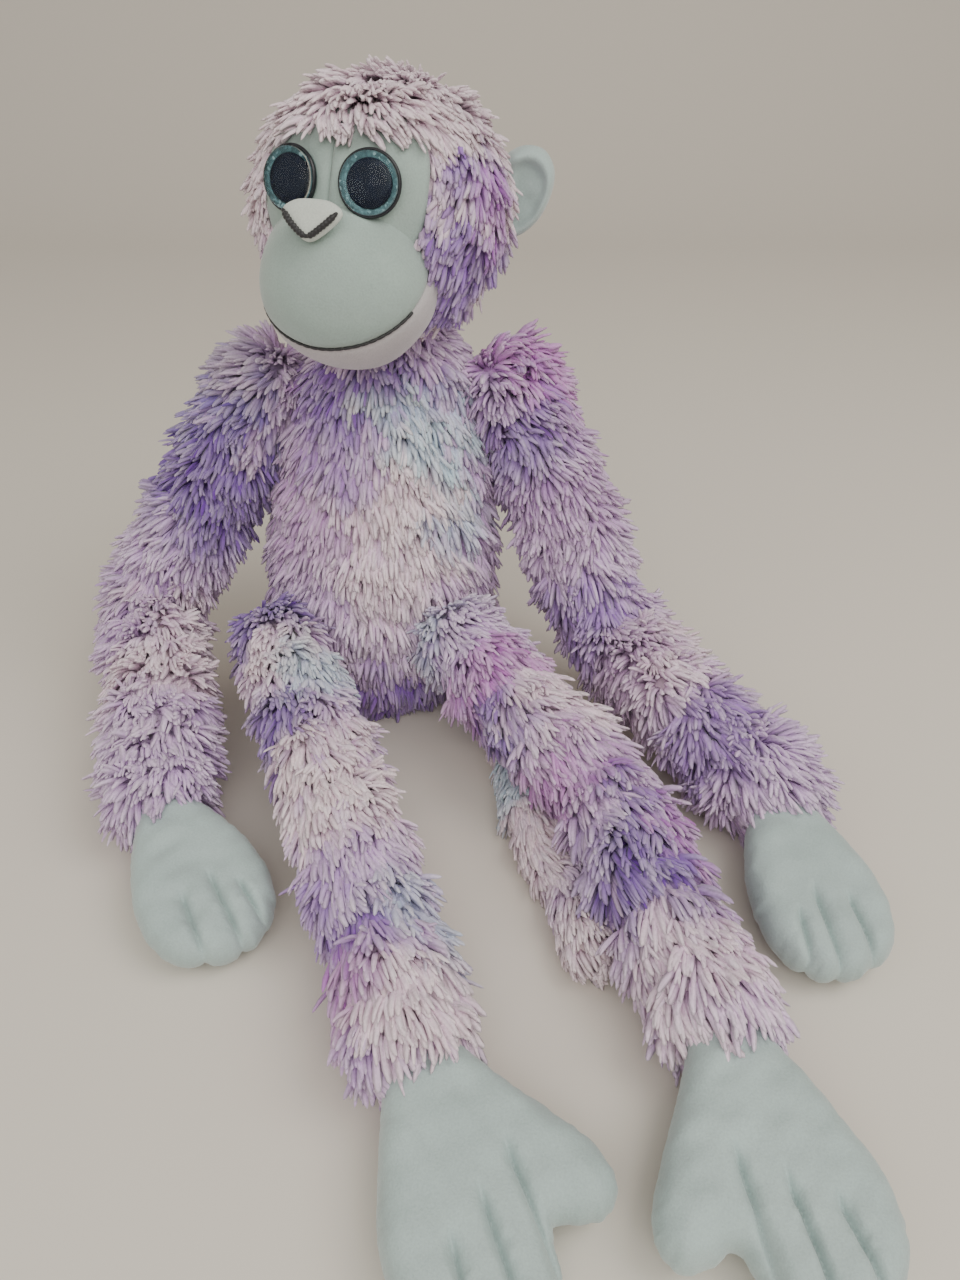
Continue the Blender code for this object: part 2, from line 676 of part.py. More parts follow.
def build_muzzle(pivot, placed, head_inside, eye_rooms):
    """The round muzzle in two panels that meet at the mouth, its stuffing, the nose and the stitching."""
    origin = Vector((0, 0, 0))
    back_tool = cutter("cut_muzzle_back", placed(ball(origin, grown(head_inside, GAP))), pivot)
    mouth = Matrix.Translation(MUZZLE_AT + Vector((0, -MUZZLE_SIZE.y, -MOUTH_DROP)))
    mouth = mouth @ Matrix.Rotation(MOUTH_SLOPE, 4, "X")
    over = box((-FAR, -FAR, GAP / 2), (FAR, FAR, FAR), mouth)
    under = box((-FAR, -FAR, -FAR), (FAR, FAR, -GAP / 2), mouth)
    above = cutter("above_mouth", placed(over), pivot)
    below = cutter("below_mouth", placed(under), pivot)
    skin = ball(MUZZLE_AT, MUZZLE_SIZE, MUZZLE_SIDES)
    for name, tool in (("muzzle_cover", above), ("chin_panel", below)):
        panel = piece(name, placed(skin), "mint_suede", pivot)
        shell(panel, SUEDE_THICK)
        cut(panel, back_tool)
        cut(panel, tool, "INTERSECT")
        if name == "muzzle_cover":
            for room in eye_rooms:
                cut(panel, room)
    inset = grown(MUZZLE_SIZE, -SUEDE_THICK - GAP)
    filling = piece("muzzle_stuffing", placed(ball(MUZZLE_AT, inset, MUZZLE_SIDES)), "fibrefill", pivot)
    for tool in (back_tool, *eye_rooms):
        cut(filling, tool)

    line = section_line(MUZZLE_AT, MUZZLE_SIZE, mouth, MOUTH_THREAD + GAP)
    stitches = tube(line, [MOUTH_THREAD] * len(line), 6, root="flat", end="flat")
    piece("mouth_embroidery", placed(stitches), "black_thread", pivot)

    nose = Matrix.Translation(NOSE_AT) @ Matrix.Rotation(NOSE_TILT, 4, "X")
    nose = nose @ Matrix.Rotation(math.radians(90), 4, "Z")
    cushion = small_pad(closed_outline(NOSE_OUTLINE, NOSE_SIDES), NOSE_THICK, nose)
    piece("nose_bridge", placed(cushion), "mint_suede", pivot)
    height = NOSE_THICK / 2 + NOSTRIL_THREAD + GAP
    stroke = [nose @ Vector((u * MM, v * MM, height)) for u, v in NOSTRIL_STROKE]
    thread = tube(stroke, [NOSTRIL_THREAD] * len(stroke), 6, "flat", "flat")
    piece("nostril_embroidery", placed(thread), "black_thread", pivot)


def small_pad(outline, thick, place):
    """A little closed cushion."""
    levels = []
    for draw, share in NOSE_EDGE:
        levels.append([Vector((p.x, p.y, thick / 2 * share)) for p in drawn_in(outline, draw * MM)])
    points = [place @ p for ring in levels for p in ring]
    return points, grid_faces(len(levels), len(outline), True, True, None, None)


def section_line(centre, size, plane, off):
    """Points just above an ellipsoid along its cut with a plane, from one end of the mouth to the other."""
    normal = (plane.to_3x3() @ Vector((0, 0, 1))).normalized()
    scaled = Vector((normal.x * size.x, normal.y * size.y, normal.z * size.z))
    level = (plane.translation - centre).dot(normal) / scaled.length
    scaled.normalize()
    radius = math.sqrt(1 - level**2)
    side = Vector((1, 0, 0))
    front = scaled.cross(side)
    if front.y > 0:
        front = -front
    line = []
    for k in range(MOUTH_STEPS + 1):
        a = math.radians(MOUTH_REACH * (2 * k / MOUTH_STEPS - 1))
        q = scaled * level + radius * (math.cos(a) * front + math.sin(a) * side)
        p = Vector((q.x * size.x, q.y * size.y, q.z * size.z))
        out = Vector((q.x / size.x, q.y / size.y, q.z / size.z)).normalized()
        line.append(centre + p + out * off)
    return line


def build_ear(side, head_pivot, turn_frame):
    """A two-panel ear on its own pivot: a dished front panel and a rounded back panel."""
    sign = 1 if side == "left" else -1
    seat = Matrix.Translation(Vector((sign * EAR_AT.x, EAR_AT.y, EAR_AT.z)))
    place = turn_frame @ seat @ Matrix.Rotation(EAR_OUT * sign, 4, "Z")
    pivot = empty(f"{side}_ear_root", place.translation.copy(), head_pivot)
    rim = []
    for s in range(EAR_SIDES):
        a = 2 * math.pi * s / EAR_SIDES
        x = EAR_WIDE / 2 * (1 + math.cos(a)) - EAR_ROOT_BACK
        widening = (1 - EAR_ROOT_SHARE) * min(1, x / (EAR_WIDE * EAR_WIDEST_AT))
        tall = EAR_TALL / 2 * (EAR_ROOT_SHARE + widening)
        rim.append(Vector((sign * x, 0, tall * math.sin(a))))
    for part, way, depths in (("front", -1, EAR_FRONT_DEPTHS), ("back", 1, EAR_BACK_DEPTHS)):
        points, faces = ear_panel(rim, sign, way, depths)
        piece(f"ear_{side}_{part}_panel", ([place @ p for p in points], faces), "mint_suede", pivot)


def ear_panel(rim, sign, way, depths):
    """A thin dish inside the rim: its outer rings, then its inner ones."""
    centre = Vector((sign * (EAR_WIDE / 2 - EAR_ROOT_BACK / 2), 0, 0))
    steps = list(zip(EAR_SHARES, depths))
    layers = [(share, EAR_THICK / 2 * depth) for share, depth in steps]
    for share, depth in reversed(steps):
        layers.append((share - EAR_INNER_SHARE, max(EAR_THICK / 2 * depth - EAR_CLOTH, 0)))
    points = []
    for share, deep in layers:
        off = Vector((0, way * (GAP / 2 + deep), 0))
        points += [centre + (p - centre) * share + off for p in rim]
    n = len(steps)
    faces = []
    for r in (*range(n - 1), *range(n, 2 * n - 1)):
        faces += band(r, r + 1, EAR_SIDES)
    faces += band(2 * n - 1, 0, EAR_SIDES)
    faces.append(tuple((n - 1) * EAR_SIDES + s for s in range(EAR_SIDES)))
    faces.append(tuple(n * EAR_SIDES + s for s in reversed(range(EAR_SIDES))))
    return points, faces


def band(a, b, sides):
    """Quads between ring a and ring b."""
    turn = [(s, (s + 1) % sides) for s in range(sides)]
    return [(a * sides + s, a * sides + t, b * sides + t, b * sides + s) for s, t in turn]


def main():
    for old in list(bpy.data.objects):
        bpy.data.objects.remove(old, do_unlink=True)
    root = empty("monkey", Vector((0, 0, 0)))
    sockets = {"neck": (NECK_AT, NECK_RADIUS)}
    for side in ("right", "left"):
        sockets[side + "_shoulder"] = (build_arm(side, root), ARM_RADII[0])
        sockets[side + "_hip"] = (build_leg(side, root), LEG_RADII[0])
    sockets["tail"] = (build_tail(root), TAIL_RADIUS)
    build_torso(root, sockets)
    neck = empty("neck_turn", NECK_AT, root)
    plug = Vector((NECK_RADIUS, NECK_RADIUS, NECK_RADIUS))
    piece("neck_stuffing", ball(NECK_AT, plug, 16, 10), "fibrefill", neck)
    head = empty("neck_nod", NECK_AT, neck)
    turn_frame = Matrix.Translation(HEAD_AT) @ Matrix.Rotation(HEAD_TURN, 4, "Z")
    build_head(head, turn_frame)
    for side in ("right", "left"):
        build_ear(side, head, turn_frame)


main()
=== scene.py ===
"""The looks of the plush monkey: shaggy tie-dyed fur, mint suede, glitter eyes and stitching, built
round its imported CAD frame. Metres, +Z up, and the monkey faces -Y."""

import json
import math

import bmesh
import bpy
import numpy as np
from mathutils import Matrix, Vector, geometry


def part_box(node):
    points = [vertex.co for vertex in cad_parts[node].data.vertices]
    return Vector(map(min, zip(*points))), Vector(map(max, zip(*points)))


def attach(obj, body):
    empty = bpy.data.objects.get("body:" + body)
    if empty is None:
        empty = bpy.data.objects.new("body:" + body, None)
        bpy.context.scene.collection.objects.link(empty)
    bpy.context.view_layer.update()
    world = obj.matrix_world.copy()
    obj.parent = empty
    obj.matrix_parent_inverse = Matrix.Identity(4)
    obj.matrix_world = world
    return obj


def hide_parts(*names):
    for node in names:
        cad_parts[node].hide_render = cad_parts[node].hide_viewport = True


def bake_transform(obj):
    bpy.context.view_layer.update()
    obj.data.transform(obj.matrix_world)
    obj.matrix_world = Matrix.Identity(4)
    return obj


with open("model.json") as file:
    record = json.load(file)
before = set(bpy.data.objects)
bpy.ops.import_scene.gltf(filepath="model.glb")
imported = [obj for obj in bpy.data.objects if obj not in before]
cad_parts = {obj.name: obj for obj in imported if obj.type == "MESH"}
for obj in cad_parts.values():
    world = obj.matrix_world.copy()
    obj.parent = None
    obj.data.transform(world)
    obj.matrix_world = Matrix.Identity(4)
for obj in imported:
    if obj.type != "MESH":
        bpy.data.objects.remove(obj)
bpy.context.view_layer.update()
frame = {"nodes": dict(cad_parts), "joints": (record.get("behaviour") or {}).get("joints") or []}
MM = 0.001
UP = np.array((0.0, 0.0, 1.0))
JOINTS = {j["name"]: j for j in frame["joints"]}
NODES = frame["nodes"]
FLOOR_CLEAR = 0.4 * MM


def srgb(red, green, blue):
    """A linear colour from the 0 to 255 values it is usually written in."""
    return np.array([((c / 255 + 0.055) / 1.055) ** 2.4 for c in (red, green, blue)])


# Fur dyes.
DYES = {
    "lavender": srgb(200, 170, 214),
    "lilac": srgb(218, 196, 226),
    "cream": srgb(240, 222, 224),
    "pale": srgb(224, 208, 212),
    "purple": srgb(140, 94, 180),
    "deep": srgb(116, 72, 164),
    "blue": srgb(118, 98, 180),
    "magenta": srgb(188, 116, 190),
    "mauve": srgb(186, 148, 194),
    "mint": srgb(188, 214, 222),
    # Painted shadow: a grey laid on the right arm where it meets the body, for the shade there.
    "painted_shadow_grey": srgb(150, 148, 158),
}
TIP_WHITE = srgb(232, 224, 232)
MINT = srgb(174, 192, 190)
FACE_MINT = srgb(159, 176, 170)
CHIN = srgb(186, 182, 184)
NOSE_WHITE = srgb(200, 207, 200)

# Fur: locks to a square millimetre, their length and half width, and how much they vary.
LOCK_DENSITY = 0.38
LOCK_LENGTH = 13.5 * MM
LOCK_WIDTH = 1.38 * MM
LOCK_RINGS = (0.0, 0.4, 0.75, 0.94)
LOCK_SHAPE = (0.65, 1.0, 0.95, 0.6)
LOCK_SINK = 1.0 * MM
CLUMP_SIZE = 17 * MM
TUFT_SIZE = 6 * MM
# Painted light: lock roots are painted lighter and more purple, to lift the shade that falls between the
# locks and tint it purple.
PAINTED_ROOT_LIGHT = np.array((1.18, 1.05, 1.24))


def joint_at(name):
    return np.array(JOINTS[name]["pos_m"], float)


def unit(v):
    v = np.asarray(v, float)
    return v / np.maximum(np.linalg.norm(v, axis=-1, keepdims=True), 1e-12)


def node_points(*names):
    return np.array([v.co for n in names for v in NODES[n].data.vertices], float)


def spline(a, b, c, d, t):
    """A smooth curve from b to c, with a before and d after them."""
    return 0.5 * (2 * b + (c - a) * t + (2 * a - 5 * b + 4 * c - d) * t**2 + (3 * b - a - 3 * c + d) * t**3)


def dress(piece, body, slot, nodes=()):
    """Fixes a piece to a body (None where it blends) and hides the nodes it stands for; slot, its finish, is
    not used.
    """
    if body:
        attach(piece, body)
    if nodes:
        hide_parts(*nodes)


def waves(seed, size, count=7):
    """A smooth random field: about -1 to 1, changing over the given size."""
    rng = np.random.default_rng(seed)
    ways = unit(rng.normal(size=(count, 3))) * (2 * math.pi / size)
    ways *= rng.uniform(0.6, 1.5, (count, 1))
    phase = rng.uniform(0, 2 * math.pi, count)
    return lambda p: np.sin(p @ ways.T + phase).sum(1) / math.sqrt(count / 2) / 1.4


# --- materials


def new_material(name, roughness, **fixed):
    made = bpy.data.materials.new(name)
    made.use_nodes = True
    shader = made.node_tree.nodes["Principled BSDF"]
    shader.inputs["Roughness"].default_value = roughness
    for socket, value in fixed.items():
        shader.inputs[socket.replace("_", " ")].default_value = value
    return made, made.node_tree, shader


def node(tree, kind, **settings):
    made = tree.nodes.new(kind)
    for key, value in settings.items():
        if key in made.inputs:
            made.inputs[key].default_value = value
        else:
            setattr(made, key, value)
    return made


def noise(tree, scale, detail):
    place = node(tree, "ShaderNodeTexCoord")
    made = node(tree, "ShaderNodeTexNoise", Scale=scale, Detail=detail)
    tree.links.new(place.outputs["Object"], made.inputs["Vector"])
    return made.outputs["Fac"]


def tinted(tree, colour_socket, factor_socket, dark, light):
    """The colour times a factor that runs from dark to light."""
    ends = {"From Min": 0.3, "From Max": 0.7, "To Min": dark, "To Max": light}
    spread = node(tree, "ShaderNodeMapRange", **ends)
    tree.links.new(factor_socket, spread.inputs["Value"])
    scaled = node(tree, "ShaderNodeVectorMath", operation="SCALE")
    tree.links.new(colour_socket, scaled.inputs[0])
    tree.links.new(spread.outputs["Result"], scaled.inputs["Scale"])
    return scaled.outputs["Vector"]


def bump(tree, shader, height_socket, distance, strength):
    made = node(tree, "ShaderNodeBump", Distance=distance, Strength=strength)
    tree.links.new(height_socket, made.inputs["Height"])
    tree.links.new(made.outputs["Normal"], shader.inputs["Normal"])


def fur_material(name):
    """Dyed pile: each lock's own colour with painted light at its root, streaked by its fibres."""
    made, tree, shader = new_material(name, 0.9, Sheen_Weight=0.35, Sheen_Roughness=0.5)
    shader.inputs["Specular IOR Level"].default_value = 0.15
    # The dye attribute carries each lock's colour, painted lighter at the root against the shade between
    # locks.
    dye = node(tree, "ShaderNodeAttribute", attribute_name="dye")
    fibres = noise(tree, 900.0, 3.0)
    colour = tinted(tree, dye.outputs["Color"], fibres, 0.88, 1.1)
    tree.links.new(colour, shader.inputs["Base Color"])
    bump(tree, shader, fibres, 0.4 * MM, 0.5)
    return made


def toned_material(name, colour, roughness, tones, height=None, **fixed):
    """One colour under layers of noise (scale, detail, dark, light); the last layer can also be raised."""
    made, tree, shader = new_material(name, roughness, **fixed)
    base = node(tree, "ShaderNodeRGB")
    base.outputs[0].default_value = (*colour, 1)
    shade = base.outputs[0]
    for scale, detail, dark, light in tones:
        layer = noise(tree, scale, detail)
        shade = tinted(tree, shade, layer, dark, light)
    tree.links.new(shade, shader.inputs["Base Color"])
    if height:
        bump(tree, shader, layer, *height)
    return made


def suede_material(name, colour, mottle=0.06):
    """Short napped suede cloth with brushed mottling and a fine nap."""
    tones = ((60.0, 4.0, 1 - mottle, 1 + mottle), (1500.0, 2.0, 0.93, 1.05))
    look = {"Sheen_Weight": 0.45, "Sheen_Roughness": 0.4, "Specular_IOR_Level": 0.12}
    return toned_material(name, colour, 0.92, tones, (0.25 * MM, 0.6), **look)


def thread_material(name):
    """Shiny embroidery thread, twisted."""
    twist = ((1800.0, 1.0, 0.6, 1.6),)
    return toned_material(name, (0.012, 0.012, 0.014), 0.45, twist, (0.2 * MM, 0.6), Sheen_Weight=0.2)


def plain_material(name, colour, roughness, **fixed):
    """Smooth moulded plastic with the faintest handling marks."""
    return toned_material(name, colour, roughness, ((300.0, 3.0, 0.9, 1.1),), **fixed)


def iris_material():
    """Teal plastic with glitter flakes in it, in random tones, with the brightest flakes painted as glints.
    """
    made, tree, shader = new_material("eye_glitter", 0.3, Metallic=0.35)
    place = node(tree, "ShaderNodeTexCoord")
    flakes = node(tree, "ShaderNodeTexVoronoi", Scale=1300.0)
    tree.links.new(place.outputs["Object"], flakes.inputs["Vector"])
    ramp = node(tree, "ShaderNodeValToRGB")
    ramp.color_ramp.elements[0].position = 0.0
    ramp.color_ramp.elements[0].color = (0.04, 0.075, 0.085, 1)
    ramp.color_ramp.elements[1].position = 1.0
    # Painted highlight: the top of the ramp paints the brightest flakes as glints.
    ramp.color_ramp.elements[1].color = (0.34, 0.46, 0.48, 1)
    for at, colour in ((0.6, (0.06, 0.12, 0.135)), (0.9, (0.1, 0.18, 0.2))):
        ramp.color_ramp.elements.new(at).color = (*colour, 1)
    split = node(tree, "ShaderNodeSeparateColor")
    tree.links.new(flakes.outputs["Color"], split.inputs[0])
    tree.links.new(split.outputs[0], ramp.inputs[0])
    tree.links.new(ramp.outputs[0], shader.inputs["Base Color"])
    bump(tree, shader, split.outputs[1], 0.3 * MM, 0.35)
    return made


def lens_material():
    made, tree, shader = new_material("eye_lens", 0.03, Transmission_Weight=1.0, IOR=1.14)
    shader.inputs["Base Color"].default_value = (0.86, 0.95, 0.96, 1)
    return made


# --- meshes


def mesh_object(name, points, faces, material):
    mesh = bpy.data.meshes.new(name)
    mesh.from_pydata([tuple(p) for p in points], [], [tuple(f) for f in faces])
    mesh.materials.append(material)
    work = bmesh.new()
    work.from_mesh(mesh)
    bmesh.ops.recalc_face_normals(work, faces=work.faces)
    work.to_mesh(mesh)
    work.free()
    smoothed(mesh)
    made = bpy.data.objects.new(name, mesh)
    bpy.context.scene.collection.objects.link(made)
    return made


def grid_faces(rows, columns):
    """Four-sided faces between neighbouring rows of points."""
    return [
        (r * columns + c, r * columns + c + 1, (r + 1) * columns + c + 1, (r + 1) * columns + c)
        for r in range(rows - 1) for c in range(columns - 1)
    ]


def smoothed(mesh):
    mesh.polygons.foreach_set("use_smooth", [True] * len(mesh.polygons))


def set_points(mesh, points):
    mesh.vertices.foreach_set("co", np.asarray(points).ravel().astype(np.float32))
    mesh.update()


def settle_modifiers(obj):
    """The object's mesh with its modifiers applied."""
    bpy.context.view_layer.update()
    graph = bpy.context.evaluated_depsgraph_get()
    mesh = bpy.data.meshes.new_from_object(obj.evaluated_get(graph))
    obj.modifiers.clear()
    obj.data = mesh


def rings_to_mesh(rings):
    """Points and faces of closed rings of equal size, with fans over the ends."""
    count, sides = len(rings), len(rings[0])
    points = np.concatenate(rings)
    faces = []
    for r in range(count - 1):
        for s in range(sides):
            t = (s + 1) % sides
            faces.append((r * sides + s, r * sides + t, (r + 1) * sides + t, (r + 1) * sides + s))
    for ring, first in ((rings[0], 0), (rings[-1], (count - 1) * sides)):
        pole = len(points)
        points = np.vstack((points, ring.mean(0)))
        faces += [(pole, first + s, first + (s + 1) % sides) for s in range(sides)]
    return points, faces


def tube_rings(line, radii, sides):
    """Rings square to a line of points, turned as little as possible."""
    line = np.asarray(line, float)
    ways = unit(np.gradient(line, axis=0))
    side = unit(np.cross(ways[0], UP if abs(ways[0][2]) < 0.95 else (1, 0, 0)))
    angles = np.arange(sides) * 2 * math.pi / sides
    rings = []
    for at, way, radius in zip(line, ways, radii):
        side = unit(side - side @ way * way)
        other = np.cross(way, side)
        rings.append(at + radius * (np.cos(angles)[:, None] * side + np.sin(angles)[:, None] * other))
    return rings


def resampled(points, count):
    """A smooth line of evenly spaced points through the given ones."""
    points = np.asarray(points, float)
    ends = np.vstack((2 * points[0] - points[1], points, 2 * points[-1] - points[-2]))
    dense = []
    for i in range(len(points) - 1):
        for t in np.linspace(0, 1, 24, endpoint=i == len(points) - 2):
            dense.append(spline(*ends[i : i + 4], t))
    dense = np.array(dense)
    run = np.concatenate(((0,), np.cumsum(np.linalg.norm(np.diff(dense, axis=0), axis=1))))
    wanted = np.linspace(0, run[-1], count)
    return np.stack([np.interp(wanted, run, dense[:, k]) for k in range(3)], 1)


def domed_tube(line, radius, sides=20, ends=(True, True)):
    """A closed tube whose ends are rounded; radius is one number or one for each point."""
    line = np.asarray(line, float)
    radii = np.broadcast_to(np.asarray(radius, float), len(line)).copy()
    ways = unit(np.gradient(line, axis=0))
    tilts = np.radians((75, 50, 25))
    first, last = [], []
    if ends[0]:
        first = [(line[0] - ways[0] * radii[0] * math.sin(a), radii[0] * math.cos(a)) for a in tilts]
    if ends[1]:
        last = [(line[-1] + ways[-1] * radii[-1] * math.sin(a), radii[-1] * math.cos(a)) for a in tilts[::-1]]
    whole = first + list(zip(line, radii)) + last
    return rings_to_mesh(tube_rings([p for p, r in whole], [r for p, r in whole], sides))


def triangles(mesh):
    """Vertex places and corner numbers of a mesh cut into triangles."""
    mesh.calc_loop_triangles()
    points = np.zeros(len(mesh.vertices) * 3)
    mesh.vertices.foreach_get("co", points)
    corners = np.zeros(len(mesh.loop_triangles) * 3, int)
    mesh.loop_triangles.foreach_get("vertices", corners)
    return points.reshape(-1, 3), corners.reshape(-1, 3)


def smooth_normals(points, corners):
    edge_a = points[corners[:, 1]] - points[corners[:, 0]]
    edge_b = points[corners[:, 2]] - points[corners[:, 0]]
    flat = np.cross(edge_a, edge_b)
    total = np.zeros_like(points)
    for k in range(3):
        np.add.at(total, corners[:, k], flat)
    return unit(total), np.linalg.norm(flat, axis=1) / 2


# --- fur


def roots_on(points, corners, density, rng):
    """Evenly scattered root places on a skin, with the skin's outward directions there."""
    normals, areas = smooth_normals(points, corners)
    if ((points - points.mean(0)) * normals).sum() < 0:
        normals = -normals
    count = int(areas.sum() / MM**2 * density)
    run = np.cumsum(areas)
    pick = (np.arange(count) + rng.uniform(size=count)) / count * run[-1]
    face = np.minimum(np.searchsorted(run, pick), len(corners) - 1)
    a, b = rng.uniform(size=(2, count))
    fold = a + b > 1
    a[fold], b[fold] = 1 - a[fold], 1 - b[fold]
    share = np.stack((1 - a - b, a, b), 1)[..., None]
    return (points[corners[face]] * share).sum(1), unit((normals[corners[face]] * share).sum(1))


def lock_mesh(roots, out, lean, lengths, widths, rng):
    """Curved, tapered, three-sided locks: points (locks, points of one, 3) and the corners of one."""
    count = len(roots)
    start = roots - out * LOCK_SINK
    middle = roots + out * (lengths * 0.42)[:, None]
    tip = middle + lean * (lengths * 0.58)[:, None]
    chord = unit(tip - start)
    side = unit(np.cross(chord, unit(rng.normal(size=(count, 3)) * 0.35 + out)))
    flat = np.cross(side, chord)
    rings = []
    for t, swell in zip(LOCK_RINGS, LOCK_SHAPE):
        centre = (1 - t) ** 2 * start + 2 * t * (1 - t) * middle + t**2 * tip
        for k in range(3):
            a = 2 * math.pi * k / 3 + math.pi / 2
            across = math.cos(a) * side + 0.62 * math.sin(a) * flat
            rings.append(centre + across * (widths * swell)[:, None])
    rings.append(tip)
    shape = np.stack(rings, 1)
    corners, cell = [], []
    last = len(LOCK_RINGS) - 1
    for r in range(last):
        for k in range(3):
            n = (k + 1) % 3
            a, b, c, d = 3 * r + k, 3 * r + n, 3 * r + 3 + n, 3 * r + 3 + k
            corners += [(a, b, c), (a, c, d)]
            u, v, w, x = k / 3, (k + 1) / 3, LOCK_RINGS[r], LOCK_RINGS[r + 1]
            cell += [((u, w), (v, w), (v, x)), ((u, w), (v, x), (u, x))]
    for k in range(3):
        corners.append((3 * last + k, 3 * last + (k + 1) % 3, 3 * last + 3))
        cell.append(((k / 3, LOCK_RINGS[-1]), ((k + 1) / 3, LOCK_RINGS[-1]), ((k + 0.5) / 3, 1.0)))
    corners.append((2, 1, 0))
    cell.append(((0.0, 0.0), (0.1, 0.0), (0.1, 0.05)))
    along = np.repeat(np.array(LOCK_RINGS + (1.0,)), [3] * len(LOCK_RINGS) + [1])
    return shape, np.array(corners), np.array(cell), along


def fur_piece(name, skin, keep, comb, dye, seed, density=LOCK_DENSITY, length=LOCK_LENGTH,
              length_at=None, width=LOCK_WIDTH):
    """One piece of pile fabric: the skin with its locks. comb gives each root's start and tip directions."""
    rng = np.random.default_rng(seed)
    points, corners = skin
    points = np.asarray(points, float)
    corners = np.array([c for f in corners for c in ([f] if len(f) == 3 else [f[:3], (f[0], f[2], f[3])])])
    roots, out = roots_on(points, corners, density, rng)
    held = keep(roots) & (roots[:, 2] > 0.5 * MM)
    roots, out = roots[held], out[held]
    count = len(roots)
    lengths = length * rng.uniform(0.72, 1.22, count)
    if length_at is not None:
        lengths = lengths * length_at(roots)
    widths = width * rng.uniform(0.7, 1.3, count)
    start, lean = comb(roots, out, rng)
    shape, one, cell, along = lock_mesh(roots, start, lean, lengths, widths, rng)
    low = shape[..., 2] < FLOOR_CLEAR
    shape[..., 2][low] = FLOOR_CLEAR + 0.3 * MM * rng.uniform(size=low.sum())

    colour = dye(roots) * rng.uniform(0.9, 1.1, (count, 1))
    white = np.clip(rng.normal(0.3, 0.14, (count, 1)), 0, 0.7)
    tips = colour * (1 - white) + TIP_WHITE * white
    mix = np.clip((along - 0.15) / 0.85, 0, 1)[None, :, None]
    # Each lock fades from its root colour, with painted light at the root, to its paler tip.
    lock_colours_painted_light = np.minimum(colour * PAINTED_ROOT_LIGHT, 0.95)[:, None] * (1 - mix) + tips[:, None] * mix

    per, total = shape.shape[1], count * shape.shape[1]
    all_points = np.vstack((shape.reshape(-1, 3), points))
    all_points[total:, 2] = np.maximum(all_points[total:, 2], FLOOR_CLEAR)
    lock_corners = (one[None] + (np.arange(count) * per)[:, None, None]).reshape(-1, 3)
    all_corners = np.vstack((lock_corners, corners + total))
    colours_with_painted_root_light = np.vstack((lock_colours_painted_light.reshape(-1, 3), dye(points)))

    cells = count + len(corners)
    across = int(math.ceil(math.sqrt(cells)))
    place = np.stack((np.arange(cells) % across, np.arange(cells) // across), 1) / across
    lock_uv = place[:count, None, None] + (0.1 + 0.8 * cell[None]) / across
    patch = np.array(((0.1, 0.1), (0.9, 0.1), (0.1, 0.9)))
    skin_uv = place[count:, None] + patch[None] / across
    uv = np.concatenate((lock_uv.reshape(-1, 2), skin_uv.reshape(-1, 2)))

    mesh = bpy.data.meshes.new(name)
    mesh.from_pydata(all_points, [], all_corners)
    smoothed(mesh)
    mesh.uv_layers.new(name="OFBake").data.foreach_set("uv", uv.ravel().astype(np.float32))
    # The dye attribute holds the locks' dyes with their painted root light, and the skin's dyes.
    layer = mesh.attributes.new("dye", "FLOAT_COLOR", "POINT")
    layer.data.foreach_set("color", np.hstack((colours_with_painted_root_light, np.ones((len(all_points), 1)))).ravel())
    mesh.materials.append(FUR)
    made = bpy.data.objects.new(name, mesh)
    bpy.context.scene.collection.objects.link(made)
    return made


def tangent(way, out):
    """The part of a direction that lies in the skin."""
    return unit(way - (way * out).sum(1)[:, None] * out)


def combed(way, lift, drop, stray, clump_seed):
    """Locks that leave the skin at a lift and turn to the combed way, in clumps."""
    fields = [waves(clump_seed + k, CLUMP_SIZE) for k in range(3)]
    fine = [waves(clump_seed + 10 + k, TUFT_SIZE) for k in range(3)]

    def comb(roots, out, rng):
        flow = tangent(way(roots) if callable(way) else np.broadcast_to(way, roots.shape), out)
        clump = np.stack([f(roots) for f in fields], 1) * 0.5 + np.stack([f(roots) for f in fine], 1) * 0.35
        clump = clump + rng.normal(0, 0.16, roots.shape)
        start = unit(out * lift + flow * (1 - lift) * 0.6 + clump * stray * 0.6)
        lean = unit(out * (lift - 0.25) + flow * (1.2 - lift) - UP * drop + clump * stray)
        inward = np.minimum((lean * out).sum(1), 0)[:, None]
        return start, unit(lean - out * inward * 0.8)

    return comb


def dye_field(base, blots, seed):
    """A tie-dye pattern: blots are (place, reach, colour name, strength) over a base colour."""
    ragged = waves(seed, 22 * MM)
    small = waves(seed + 1, 8 * MM)
    drift = waves(seed + 2, 55 * MM)

    def dye(points):
        colour = np.broadcast_to(DYES[base], points.shape).copy()
        soft = np.clip(drift(points) * 0.5 + 0.5, 0, 1)[:, None]
        colour = colour * (1 - 0.35 * soft) + DYES["cream"] * 0.35 * soft
        rough = ragged(points) * 0.22 + small(points) * 0.16
        for place, reach, dye_name, strength in blots:
            near = 1 - np.linalg.norm(points - place, axis=1) / reach + rough
            share = np.clip(near * 1.6 + 0.1, 0, 1)
            share = (share * share * (3 - 2 * share) * strength)[:, None]
            colour = colour * (1 - share) + DYES[dye_name] * share
        return colour

    return dye


def limb_spot(joints, along, around, radius, inward):
    """A place on a limb: along counts joints, around is degrees from the top towards the midline."""
    i = min(int(along), len(joints) - 2)
    way = unit(joints[i + 1] - joints[i])
    centre = joints[i] + (joints[i + 1] - joints[i]) * (along - i)
    top = unit(UP - UP @ way * way)
    side = np.cross(way, top)
    if side[0] * inward < 0:
        side = -side
    a = math.radians(around)
    return centre + radius * (math.cos(a) * top + math.sin(a) * side)


# --- the body's fur

# Limbs: the fabric's radii, the pile's stop at wrist and ankle, the blend at elbow and knee.
ARM_RADIUS = 15.0 * MM
LEG_RADIUS = 14.8 * MM
CUFF = 8 * MM
BEND_REACH = 20 * MM
SHOULDER_REACH = 30 * MM
FUR = fur_material("monkey_fur")

